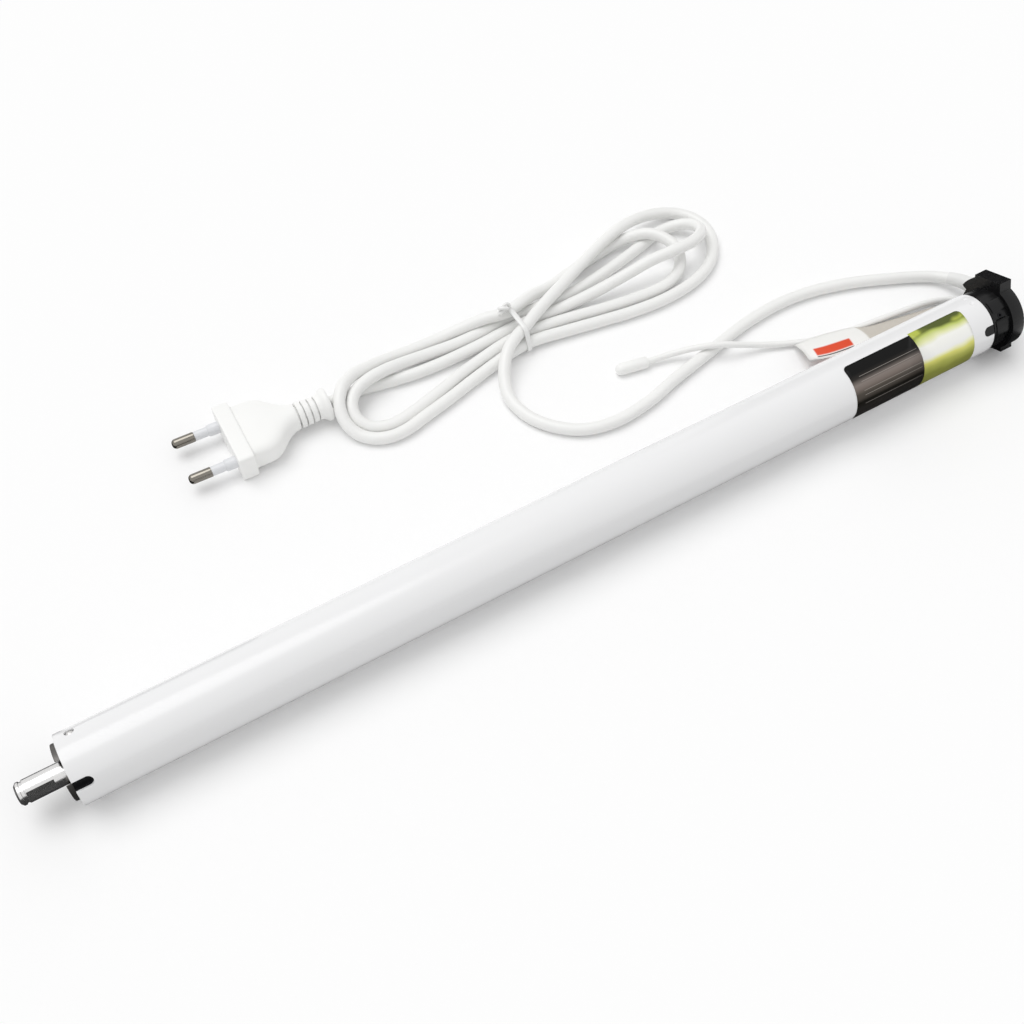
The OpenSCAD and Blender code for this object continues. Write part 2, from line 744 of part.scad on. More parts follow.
gland_run = lead_route[1] - lead_route[0];
gland_shank = (outlet_y[1] - lead_route[0][1]) * norm(gland_run) / gland_run[1] + seat_gap;
aerial_run = aerial_route[1] - aerial_route[0];
aerial_shank = (outlet_z[0] - aerial_route[0][2]) * norm(aerial_run) / aerial_run[2];

module cord_gland() {
    color("whitesmoke") exit_bush(lead_route[0], lead_route[1], gland_r, cord_r + run_fit, gland_shank, 0.7, 6);
}

module aerial_bush() {
    color("whitesmoke")
        exit_bush(aerial_route[0], aerial_route[1], aerial_bush_r, aerial_r + run_fit, aerial_shank, 0, 0.3);
}

// Labels

module wrap(x, len, from, to) {
    on_axis(x) linear_extrude(len) difference() {
        slice_2d(tube_r + press_gap + label_t, from, to);
        circle(r = tube_r + press_gap);
    }
}
light_label_x = tube_l - label_inset - light_label_l;

module dark_label() {
    color([0.18, 0.15, 0.13]) wrap(light_label_x - dark_label_l, dark_label_l, 86, 206);
}

module light_label() {
    color("palegoldenrod") wrap(light_label_x, light_label_l, 82, 202);
}

// Cord sweeps

// A point on a smooth curve through route points p, at parameter u in segment i
function before(p, i) = i > 0 ? p[i - 1] : 2 * p[0] - p[1];
function after(p, i) = i < len(p) - 2 ? p[i + 2] : 2 * p[len(p) - 1] - p[len(p) - 2];
function spline(p, i, u) = let (a = before(p, i), b = p[i], c = p[i + 1], d = after(p, i))
    b + (c - a) * u / 2 + (2 * a - 5 * b + 4 * c - d) * u * u / 2 + (3 * b - a - 3 * c + d) * u * u * u / 2;

// Ring centres along a route, about step apart
function resample(p, step) = concat(
    [for (i = [0:len(p) - 2]) let (n = max(1, round(norm(p[i + 1] - p[i]) / step)))
        for (k = [0:n - 1]) spline(p, i, k / n)],
    [p[len(p) - 1]]
);

function unit(v) = v / norm(v);
function heading(q, i) = unit(q[min(i + 1, len(q) - 1)] - q[max(i - 1, 0)]);
function run(q, i = 0, sum = 0) = i > len(q) - 2 ? sum : run(q, i + 1, sum + norm(q[i + 1] - q[i]));

// One closed tube round a list of ring centres
module sweep(q, r, sides) {
    n = len(q);
    points = [for (i = [0:n - 1]) let (t = heading(q, i), s = unit(cross(t, [0, 0, 1])), v = cross(s, t))
        for (k = [0:sides - 1]) q[i] + r * (cos((k + 0.5) * 360 / sides) * s + sin((k + 0.5) * 360 / sides) * v)];
    side_faces = [for (i = [0:n - 2]) for (k = [0:sides - 1])
        let (a = i * sides + k, b = i * sides + (k + 1) % sides)
        for (f = [[a, b, b + sides], [a, b + sides, a + sides]]) f];
    caps = [for (k = [1:sides - 2]) for (f = [[0, k + 1, k], (n - 1) * sides * [1, 1, 1] + [0, k, k + 1]]) f];
    polyhedron(points = points, faces = concat(side_faces, caps));
}

// The hank

hank_u = [cos(hank_turn), sin(hank_turn), 0];
hank_v = [-sin(hank_turn), cos(hank_turn), 0];
// Share of a loop's full half width that its outline reaches, and of its bulge where it does
wide_share = 0.669;
bulge_share = 0.552;

function ease(t) = let (k = max(0, min(1, t))) k * k * (3 - 2 * k);

// A point of the hank after t loops: it starts at the waist on the motor's side and heads for the far end
function hank_point(t) = let (
    a = 360 * t - 90,
    inward = min(t, hank_loops - t),
    waist = hank_waist - waist_step * inward,
    half = (cos(a) > 0 ? hank_half : hank_half_back) - wide_step * inward,
    reach = (cos(a) > 0 ? hank_reach : hank_back) - reach_step * inward,
    bulge = (half / wide_share - waist) / bulge_share,
    layer = 1 - ease((t - drop_from) / (drop_to - drop_from)),
    z = cord_r + seat_gap + waist_lift * pow(sin(a), 8) + layer_step * layer
) [hank_pos[0], hank_pos[1], z] + reach * cos(a) * hank_u + (waist + bulge * cos(a) * cos(a)) * sin(a) * hank_v;

hank_steps = hank_loops * loop_rings;
hank_rings = concat(
    [hank_point(0) - cord_d * hank_u],
    [for (i = [0:hank_steps]) hank_point(i / loop_rings)],
    [hank_point(hank_loops) - cord_d * hank_u]
);

// Least gap between strands that are more than a quarter of a loop apart along the tube
hank_gap = min([for (i = [0:hank_steps]) for (j = [i + loop_rings / 4:hank_steps])
    norm(hank_point(i / loop_rings) - hank_point(j / loop_rings)) - cord_d]);

module cord_hank() {
    echo(hank_gap = hank_gap, hank_length = run(hank_rings));
    color("white") sweep(hank_rings, cord_r, hank_sides);
}

lead_points = concat(lead_route, [hank_rings[0]]);
function on_hank(p) = [hank_pos[0], hank_pos[1], p[2]] + p[0] * hank_u + p[1] * hank_v;
plug_back = [cos(plug_turn), sin(plug_turn), 0];
plug_axis = [plug_pos[0], plug_pos[1], plug_h / 2];
relief_end = plug_axis + plug_len * plug_back;
tail_points = concat(
    [hank_rings[len(hank_rings) - 1]],
    [for (p = tail_route) on_hank(p)],
    [relief_end + cord_d * plug_back, relief_end]
);

module cord_lead() {
    rings = resample(lead_points, 2 * cord_d);
    echo(lead_length = run(rings));
    color("white") sweep(rings, cord_r, 10);
}

module cord_tail() {
    rings = resample(tail_points, 2 * cord_d);
    echo(tail_length = run(rings));
    color("white") sweep(rings, cord_r, 10);
}

// Tie round the hank's waist: a flat band and the twisted ends of its wire
tie_half = hank_waist + cord_r + tie_gap;
tie_high = waist_lift + layer_step + cord_d + seat_gap + tie_gap;
tie_corner = cord_r + tie_gap;

module round_frame(half, low, high, r) {
    translate([-half + r, low]) square([2 * (half - r), high - low]);
    translate([-half, low + r]) square([2 * half, high - low - 2 * r]);
    for (x = [-half + r, half - r]) for (y = [low + r, high - r]) translate([x, y]) circle(r = r);
}

module hank_tie() {
    knot_l = 5;
    knot_in = tie_corner * (1 - cos(45));
    color("white") translate([hank_pos[0], hank_pos[1], 0]) rotate([0, 0, hank_turn]) rotate([90, 0, 90]) {
        translate([0, 0, -tie_w / 2]) linear_extrude(tie_w) difference() {
            round_frame(tie_half + tie_t, 0, tie_high + tie_t, tie_corner + tie_t);
            round_frame(tie_half, tie_t, tie_high, tie_corner);
        }
        for (s = [-1, 1]) translate([tie_half - knot_in, tie_high - knot_in, s * tie_w / 5])
            rotate([-90, 0, -45])
            cylinder(h = knot_l, d = tie_w / 2);
    }
}

// Plug, drawn with its flange's front at the origin, its pins towards -x and its cord towards +x
module plug_frame() {
    translate(plug_axis) rotate([0, 0, plug_turn]) children();
}
plug_flange_t = 6.5;
plug_body_l = 22;
plug_neck_w = 10.4;
relief_l = plug_len - plug_flange_t - plug_body_l;

module plug_body() {
    half = plug_w / 2;
    body_half = half - 2.2;
    neck_half = plug_neck_w / 2;
    body_end = plug_flange_t + plug_body_l;
    chamfer = 2;
    color("white") plug_frame() difference() {
        intersection() {
            translate([0, 0, -plug_h / 2]) linear_extrude(plug_h) polygon([
                [0, -half + chamfer], [0, half - chamfer], [chamfer, half], [plug_flange_t - 1, half],
                [plug_flange_t, half - 1], [plug_flange_t, body_half - 2], [plug_flange_t + 4, body_half],
                [plug_flange_t + 10, body_half], [plug_flange_t + 15, body_half - 3], [body_end - 3, neck_half],
                [body_end, neck_half], [body_end, -neck_half], [body_end - 3, -neck_half],
                [plug_flange_t + 15, 3 - body_half], [plug_flange_t + 10, -body_half],
                [plug_flange_t + 4, -body_half], [plug_flange_t, 2 - body_half], [plug_flange_t, 1 - half],
                [plug_flange_t - 1, -half], [chamfer, -half]
            ]);
            rotate([90, 0, 0]) translate([0, 0, -plug_w]) linear_extrude(2 * plug_w) polygon([
                [0, 1 - plug_h / 2], [1, -plug_h / 2], [plug_flange_t + 12, -plug_h / 2],
                [body_end, -neck_half], [body_end, neck_half], [plug_flange_t + 12, plug_h / 2 - 0.6],
                [plug_flange_t + 1, plug_h / 2 - 0.6], [plug_flange_t, plug_h / 2], [1, plug_h / 2], [0, plug_h / 2 - 1]
            ]);
        }
        for (s = [-1, 1]) translate([-over, s * plug_pitch / 2, 0]) rotate([0, 90, 0])
            cylinder(h = pin_root + over, d = pin_core_d + 2 * press_gap);
    }
}
pin_root = 5;
plug_boss_l = 4.5;
pin_core_d = plug_pin_d - 1.4;

// Strain relief with ribs along a tapered core and a collar at its end
module plug_relief() {
    ribs = 4;
    pitch = (relief_l - 3) / ribs;
    rib_r = plug_neck_w / 2;
    rib_end_r = cord_r + 1.8;
    core_r = cord_r + 0.8;
    collar_r = plug_h / 2 - 0.1;
    function rib(k) = rib_r + (rib_end_r - rib_r) * k / (ribs - 1);
    profile = concat(
        [[0, 0]],
        [for (k = [0:ribs - 1]) for (p = [[core_r, 0], [core_r, 0.3 * pitch], [rib(k), 0.3 * pitch],
            [rib(k), pitch]]) [p[0], p[1] + k * pitch]],
        [[core_r, relief_l - 3], [core_r, relief_l - 2.4], [collar_r, relief_l - 2], [collar_r, relief_l - 0.8],
            [rib_end_r, relief_l], [0, relief_l]]
    );
    color("white") plug_frame() translate([plug_flange_t + plug_body_l, 0, 0]) rotate([0, 90, 0])
        rotate_extrude() polygon(profile);
}

module plug_pins() {
    tip = 0.8;
    color("silver") plug_frame() for (s = [-1, 1]) translate([-plug_pin_l, s * plug_pitch / 2, 0])
        rotate([0, 90, 0]) rotate_extrude() polygon([
            [0, 0], [plug_pin_d / 2 - tip, 0], [plug_pin_d / 2, tip], [plug_pin_d / 2, plug_pin_l - plug_sleeve_l],
            [pin_core_d / 2, plug_pin_l - plug_sleeve_l], [pin_core_d / 2, plug_pin_l + pin_root - over],
            [0, plug_pin_l + pin_root - over]
        ]);
}

module plug_sleeves() {
    color("white") plug_frame() for (s = [-1, 1]) translate([-plug_sleeve_l, s * plug_pitch / 2, 0])
        rotate([0, 90, 0]) difference() {
            union() {
                cylinder(h = plug_sleeve_l, d = plug_pin_d - 0.2);
                translate([0, 0, plug_sleeve_l - plug_boss_l]) cylinder(h = plug_boss_l, d = plug_pin_d + 0.8);
            }
            translate([0, 0, -over]) cylinder(h = plug_sleeve_l + 2 * over, d = pin_core_d + 2 * press_gap);
        }
}

// Aerial

aerial_end = aerial_route[len(aerial_route) - 1];
aerial_heading = unit(aerial_end - aerial_route[len(aerial_route) - 2]);

module aerial_wire() {
    rings = resample(aerial_route, 3 * aerial_d);
    echo(aerial_length = run(rings));
    color("white") sweep(rings, aerial_r, 8);
}

module aerial_cap() {
    color("white") translate(aerial_end)
        rotate([0, 90, atan2(aerial_heading[1], aerial_heading[0])]) rotate_extrude() polygon([
            [0, 0], [aerial_cap_d / 2 - 0.6, 0], [aerial_cap_d / 2, 0.6],
            for (k = [0:6]) [aerial_cap_d / 2 * cos(15 * k), aerial_cap_l + aerial_cap_d / 2 * (sin(15 * k) - 1)]
        ]);
}

// A paper flag that lies under the aerial wire, between the lead and the tube
module aerial_flag() {
    color("white") translate([0, 0, seat_gap]) linear_extrude(flag_t)
        polygon([[128, 36], [131, 20], [150, 16], [180, 16], [190, 19], [190, 24.5], [172, 25], [150, 31]]);
}

motor_tube();
front_plate();
tube_screws();
shaft_bush();
output_shaft();
ring_gear();
planet(slow_planet_x, slow_face, planet_angles[0]);  // planet_slow_1
planet(slow_planet_x, slow_face, planet_angles[1]);  // planet_slow_2
planet(slow_planet_x, slow_face, planet_angles[2]);  // planet_slow_3
fast_carrier();
planet(fast_planet_x, fast_face, planet_angles[0]);  // planet_fast_1
planet(fast_planet_x, fast_face, planet_angles[1]);  // planet_fast_2
planet(fast_planet_x, fast_face, planet_angles[2]);  // planet_fast_3
sun_pinion();
rear_plate();
brake_disc();
brake_armature();
brake_coil();
motor_front_bell();
motor_rear_bell();
rotor_bearings();
stator_core();
stator_windings();
rotor_core();
rotor_shaft();
board_tray();
run_capacitor();
control_board();
power_transformer();
relays();
radio_module();
terminal_block();
motor_leads();
head_plug();
crown();
crown_screw();
sensor_magnet();
end_cap();
end_cap_screws();
cord_gland();
aerial_bush();
dark_label();
light_label();
cord_lead();
cord_hank();
cord_tail();
hank_tie();
plug_body();
plug_relief();
plug_pins();
plug_sleeves();
aerial_wire();
aerial_cap();
aerial_flag();
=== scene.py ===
import json
import math

import bmesh
import bpy
from mathutils import Matrix, Vector
from mathutils.geometry import convex_hull_2d


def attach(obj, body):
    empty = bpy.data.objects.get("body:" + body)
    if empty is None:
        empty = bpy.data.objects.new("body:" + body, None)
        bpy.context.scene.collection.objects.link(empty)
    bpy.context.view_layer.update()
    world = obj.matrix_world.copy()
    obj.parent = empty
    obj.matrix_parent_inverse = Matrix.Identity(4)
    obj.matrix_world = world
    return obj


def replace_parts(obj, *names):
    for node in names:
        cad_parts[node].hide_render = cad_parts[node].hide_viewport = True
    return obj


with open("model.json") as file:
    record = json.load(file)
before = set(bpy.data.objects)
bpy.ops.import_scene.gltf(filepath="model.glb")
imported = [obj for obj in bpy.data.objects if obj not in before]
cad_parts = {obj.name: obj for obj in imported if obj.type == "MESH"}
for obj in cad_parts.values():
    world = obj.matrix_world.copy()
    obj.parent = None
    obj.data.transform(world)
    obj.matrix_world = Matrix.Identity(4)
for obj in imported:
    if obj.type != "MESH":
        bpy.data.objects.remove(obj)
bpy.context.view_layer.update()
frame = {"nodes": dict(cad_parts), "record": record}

MM = 0.001
AXIS_Z = 14.0
X_MID = 193.1
TUBE_R = 12.5
TUBE_L = 378.0
CORD_D = 5.0
AERIAL_D = 2.7


def at(x, y, z):
    """A point given in millimetres in the part's frame."""
    return Vector((x, y, z)) * MM


# Camera

CAMERA_PLACE = at(-148.9, -199.9, 394.0)
CAMERA_AIM = Vector((0.2808, 0.4713, -0.8361)).normalized()
CAMERA_ROLL = math.radians(0.63)
CAMERA_LENS = 44.03


def make_camera():
    data = bpy.data.cameras.new("photo_view")
    data.sensor_width = 36.0
    data.lens = CAMERA_LENS
    data.clip_start = 0.01
    data.clip_end = 30.0
    camera = bpy.data.objects.new("photo_view", data)
    bpy.context.collection.objects.link(camera)
    level = CAMERA_AIM.cross(Vector((0, 0, 1))).normalized()
    rise = level.cross(CAMERA_AIM)
    right = level * math.cos(CAMERA_ROLL) + rise * math.sin(CAMERA_ROLL)
    up = rise * math.cos(CAMERA_ROLL) - level * math.sin(CAMERA_ROLL)
    turn = Matrix((right, up, -CAMERA_AIM)).transposed()
    camera.matrix_world = Matrix.Translation(CAMERA_PLACE) @ turn.to_4x4()
    bpy.context.scene.camera = camera


make_camera()

# Shared surface effects


def new_group(name, inputs, outputs):
    group = bpy.data.node_groups.new(name, "ShaderNodeTree")
    for label, kind, value in inputs:
        socket = group.interface.new_socket(label, in_out="INPUT", socket_type=kind)
        if value is not None:
            socket.default_value = value
    for label, kind in outputs:
        group.interface.new_socket(label, in_out="OUTPUT", socket_type=kind)
    return group, group.nodes.new("NodeGroupInput"), group.nodes.new("NodeGroupOutput")


def add(tree, kind, settings=None, **links):
    """A node with its settings and links.

    A link names an input, or gives its number after an underscore, and holds another node's socket or a value.
    """
    node = tree.nodes.new(kind)
    for key, value in (settings or {}).items():
        setattr(node, key, value)
    for key, value in links.items():
        socket = node.inputs[int(key[1:])] if key[0] == "_" else node.inputs[key.replace("_", " ")]
        if isinstance(value, bpy.types.NodeSocket):
            tree.links.new(value, socket)
        else:
            socket.default_value = value
    return node


def math_node(tree, operation, a, b=0.0, clamp=False):
    return add(tree, "ShaderNodeMath", {"operation": operation, "use_clamp": clamp}, _0=a, _1=b).outputs[0]


def mix_colour(tree, factor, a, b):
    return add(tree, "ShaderNodeMix", {"data_type": "RGBA"}, _0=factor, _6=a, _7=b).outputs[2]


def make_grain():
    """Fine grain, slow mottling and stray specks that any moulded, coated or cast surface shows."""
    vector, number, colour = "NodeSocketVector", "NodeSocketFloat", "NodeSocketColor"
    mottle_scale, speck_scale, speck_reach, speck_rarity = 38.0, 420.0, 0.16, 0.86
    speck_colour = (0.35, 0.33, 0.3, 1)
    group, inlet, outlet = new_group(
        "surface_grain",
        [("Place", vector, None), ("Colour", colour, (0.8, 0.8, 0.8, 1)), ("Roughness", number, 0.4),
         ("Grain size", number, 900.0), ("Mottle", number, 0.05), ("Specks", number, 0.0)],
        [("Colour", colour), ("Roughness", number), ("Height", number)],
    )
    place = inlet.outputs["Place"]
    fine = add(group, "ShaderNodeTexNoise", None, Vector=place, Scale=inlet.outputs["Grain size"], Detail=2.0)
    slow = add(group, "ShaderNodeTexNoise", None, Vector=place, Scale=mottle_scale, Detail=4.0, Roughness=0.6)
    dots = add(group, "ShaderNodeTexVoronoi", None, Vector=place, Scale=speck_scale)
    sway = math_node(group, "SUBTRACT", slow.outputs[0], 0.5)
    sway = math_node(group, "MULTIPLY", sway, inlet.outputs["Mottle"])
    light = math_node(group, "ADD", sway, 1.0)
    tinted = add(group, "ShaderNodeVectorMath", {"operation": "SCALE"},
                 _0=inlet.outputs["Colour"], Scale=light)
    near = math_node(group, "LESS_THAN", dots.outputs["Distance"], speck_reach)
    chance = add(group, "ShaderNodeSeparateColor", None, Color=dots.outputs["Color"]).outputs[0]
    rare = math_node(group, "GREATER_THAN", chance, speck_rarity)
    speck = math_node(group, "MULTIPLY", math_node(group, "MULTIPLY", near, rare), inlet.outputs["Specks"])
    shown = mix_colour(group, speck, tinted.outputs[0], speck_colour)
    rough = math_node(group, "MULTIPLY", sway, 2.2)
    rough = math_node(group, "ADD", rough, inlet.outputs["Roughness"], clamp=True)
    group.links.new(shown, outlet.inputs["Colour"])
    group.links.new(rough, outlet.inputs["Roughness"])
    group.links.new(fine.outputs[0], outlet.inputs["Height"])
    return group


def make_turning():
    """Fine rings round the X axis, as a lathe leaves them."""
    vector, number = "NodeSocketVector", "NodeSocketFloat"
    group, inlet, outlet = new_group(
        "turning_rings",
        [("Place", vector, None), ("Rings", number, 900.0), ("Roughness", number, 0.2)],
        [("Roughness", number), ("Height", number)],
    )
    along = add(group, "ShaderNodeSeparateXYZ", None, _0=inlet.outputs["Place"]).outputs[0]
    rings = add(group, "ShaderNodeTexNoise", {"noise_dimensions": "1D"},
                W=along, Scale=inlet.outputs["Rings"], Detail=3.0)
    smear = add(group, "ShaderNodeTexNoise", None, Vector=inlet.outputs["Place"], Scale=160.0, Detail=3.0)
    spread = math_node(group, "MULTIPLY", math_node(group, "SUBTRACT", smear.outputs[0], 0.5), 0.22)
    rough = math_node(group, "ADD", spread, inlet.outputs["Roughness"], clamp=True)
    group.links.new(rough, outlet.inputs["Roughness"])
    group.links.new(rings.outputs[0], outlet.inputs["Height"])
    return group


GRAIN = make_grain()
TURNING = make_turning()


def start_material(name):
    material = bpy.data.materials.new(name)
    material.use_nodes = True
    tree = material.node_tree
    shader = tree.nodes["Principled BSDF"]
    place = tree.nodes.new("ShaderNodeTexCoord")
    return material, tree, shader, place.outputs["Object"]


def surfaced(tree, shader, group, strength, depth):
    """Puts a group's roughness and height on a shader; depth in millimetres."""
    height = group.outputs["Height"]
    bump = add(tree, "ShaderNodeBump", None, Strength=strength, Distance=depth * MM, Height=height)
    tree.links.new(group.outputs["Roughness"], shader.inputs["Roughness"])
    tree.links.new(bump.outputs[0], shader.inputs["Normal"])


def grained(tree, shader, place, colour, rough, size, depth, mottle, specks=0.0):
    """Puts the shared grain on a shader; colour is a plain colour or another node's output."""
    paint = colour if isinstance(colour, bpy.types.NodeSocket) else (*colour, 1)
    grain = add(tree, "ShaderNodeGroup", {"node_tree": GRAIN}, Place=place, Colour=paint, Roughness=rough,
                Grain_size=size, Mottle=mottle, Specks=specks)
    tree.links.new(grain.outputs["Colour"], shader.inputs["Base Color"])
    surfaced(tree, shader, grain, 0.35, depth)


def plain_finish(name, colour, rough, size=900.0, depth=0.02, mottle=0.06, specks=0.0,
                 metallic=0.0, shine=0.5):
    material, tree, shader, place = start_material(name)
    shader.inputs["Metallic"].default_value = metallic
    shader.inputs["Specular IOR Level"].default_value = shine
    grained(tree, shader, place, colour, rough, size, depth, mottle, specks)
    return material


def turned_metal(name, colour, rough, rings=900.0, depth=0.01):
    material, tree, shader, place = start_material(name)
    shader.inputs["Metallic"].default_value = 1.0
    shader.inputs["Base Color"].default_value = (*colour, 1)
    lathe = add(tree, "ShaderNodeGroup", {"node_tree": TURNING}, Place=place, Rings=rings, Roughness=rough)
    surfaced(tree, shader, lathe, 0.25, depth)
    return material


def striped(name, colour, dark, rough, scale, metallic):
    """Close lines across the X axis: stacked core plates and wound wire."""
    material, tree, shader, place = start_material(name)
    shader.inputs["Metallic"].default_value = metallic
    wave = add(tree, "ShaderNodeTexWave", {"bands_direction": "X"},
               Vector=place, Scale=scale, Distortion=0.6)
    lined = mix_colour(tree, wave.outputs["Fac"], (*dark, 1), (*colour, 1))
    grained(tree, shader, place, lined, rough, 700.0, 0.02, 0.1)
    return material


def board_finish(name):
    material, tree, shader, place = start_material(name)
    brick = add(tree, "ShaderNodeTexBrick", {"offset": 0.37}, Vector=place, Scale=160.0, Mortar_Size=0.04,
                Color1=(0.02, 0.13, 0.05, 1), Color2=(0.03, 0.2, 0.08, 1), Mortar=(0.12, 0.34, 0.14, 1))
    grained(tree, shader, place, brick.outputs["Color"], 0.35, 900.0, 0.01, 0.1)
    return material


def uv_of(tree):
    uv = tree.nodes.new("ShaderNodeUVMap")
    split = add(tree, "ShaderNodeSeparateXYZ", None, _0=uv.outputs[0])
    return split.outputs[0], split.outputs[1]


def band(tree, value, low, high, soft):
    """1 between low and high, with soft edges."""
    steps = []
    for edge in (low, high):
        step = add(tree, "ShaderNodeMapRange", {"interpolation_type": "SMOOTHSTEP"},
                   _0=value, _1=edge - soft, _2=edge + soft)
        steps.append(step.outputs[0])
    return math_node(tree, "SUBTRACT", *steps, clamp=True)


def colour_ramp(tree, value, tones):
    """A ramp through (place, colour) pairs, the first at 0 and the last at 1."""
    ramp = add(tree, "ShaderNodeValToRGB", None, Fac=value)
    stops = ramp.color_ramp.elements
    stops[0].color = (*tones[0][1], 1)
    stops[1].color = (*tones[-1][1], 1)
    for where, tone in tones[1:-1]:
        stop = stops.new(where)
        stop.color = (*tone, 1)
    return ramp.outputs[0]


# Across the dark film: near black, with a bronze band from about 0.25 to 0.61 that is a painted reflection
DARK_TONES_WITH_PAINTED_REFLECTION = [
    (0.0, (0.006, 0.006, 0.006)), (0.17, (0.008, 0.008, 0.008)), (0.25, (0.03, 0.027, 0.024)),
    (0.34, (0.24, 0.205, 0.185)), (0.4, (0.2, 0.165, 0.145)), (0.48, (0.08, 0.068, 0.056)),
    (0.55, (0.065, 0.055, 0.046)), (0.61, (0.008, 0.007, 0.005)), (0.72, (0.02, 0.018, 0.016)),
    (1.0, (0.022, 0.02, 0.018)),
]
LIGHT_TONES = [
    (0.0, (0.075, 0.095, 0.015)), (0.11, (0.085, 0.11, 0.015)), (0.16, (0.5, 0.58, 0.14)),
    (0.23, (0.78, 0.8, 0.45)), (0.29, (0.93, 0.93, 0.88)), (0.47, (0.93, 0.93, 0.9)),
    (0.51, (0.9, 0.9, 0.6)), (0.56, (0.74, 0.72, 0.18)), (0.64, (0.45, 0.47, 0.1)),
    (0.76, (0.25, 0.27, 0.05)), (1.0, (0.22, 0.23, 0.06)),
]
RULES_AT, RULE_HALF = (0.23, 0.31, 0.45, 0.52, 0.66), 0.003


def dark_film(name):
    """Near-black film with a painted bronze reflection across its middle and a few thin pale rules along it.
    """
    material, tree, shader, place = start_material(name)
    along, across = uv_of(tree)
    film = colour_ramp(tree, across, DARK_TONES_WITH_PAINTED_REFLECTION)
    inset = band(tree, along, 0.12, 0.97, 0.004)
    lines = None
    for where in RULES_AT:
        line = band(tree, across, where - RULE_HALF, where + RULE_HALF, RULE_HALF)
        lines = line if lines is None else math_node(tree, "MAXIMUM", lines, line)
    rules = math_node(tree, "MULTIPLY", lines, inset)
    rules = math_node(tree, "MULTIPLY", rules, 0.6)
    ruled = mix_colour(tree, rules, film, (0.5, 0.46, 0.42, 1))
    shader.inputs["Specular IOR Level"].default_value = 0.08
    grained(tree, shader, place, ruled, 0.3, 1200.0, 0.006, 0.05)
    return material


def light_film(name):
    """White film with soft green and straw bands along its two long edges."""
    material, tree, shader, place = start_material(name)
    across = uv_of(tree)[1]
    sway = add(tree, "ShaderNodeTexNoise", None, Vector=place, Scale=90.0, Detail=1.0)
    shift = math_node(tree, "MULTIPLY", math_node(tree, "SUBTRACT", sway.outputs[0], 0.5), 0.12)
    wavy = math_node(tree, "ADD", across, shift)
    film = colour_ramp(tree, wavy, LIGHT_TONES)
    leaf = add(tree, "ShaderNodeTexNoise", None, Vector=place, Scale=95.0, Detail=1.0)
    leaves = band(tree, leaf.outputs[0], 0.5, 1.0, 0.08)
    patchy = math_node(tree, "MULTIPLY", leaves, band(tree, wavy, -0.2, 0.12, 0.03))
    shade = mix_colour(tree, patchy, film, (0.46, 0.52, 0.08, 1))
    shader.inputs["Specular IOR Level"].default_value = 0.25
    grained(tree, shader, place, shade, 0.3, 1200.0, 0.006, 0.04)
    return material


def flag_card(name):
    """White card with painted shade that makes it beige beyond 0.4 along, an orange patch at its loose end and
    a thin dark line under it.
    """
    material, tree, shader, place = start_material(name)
    along, across = uv_of(tree)
    loose_end = band(tree, along, 0.06, 0.3, 0.006)
    patch = math_node(tree, "MULTIPLY", loose_end, band(tree, across, 0.56, 0.86, 0.03))
    # A plain dark line below the orange patch
    dark_line = math_node(tree, "MULTIPLY", loose_end, band(tree, across, 0.89, 0.93, 0.01))
    # Painted shade: the card turns beige beyond 0.4 along, where it lies in the tube's shade
    painted_shade = band(tree, along, 0.4, 2.0, 0.008)
    paper = mix_colour(tree, painted_shade, (0.88, 0.875, 0.85, 1), (0.58, 0.54, 0.48, 1))
    shade = mix_colour(tree, patch, paper, (0.72, 0.06, 0.012, 1))
    shade = mix_colour(tree, dark_line, shade, (0.05, 0.045, 0.04, 1))
    grained(tree, shader, place, shade, 0.5, 1500.0, 0.02, 0.05)
    return material


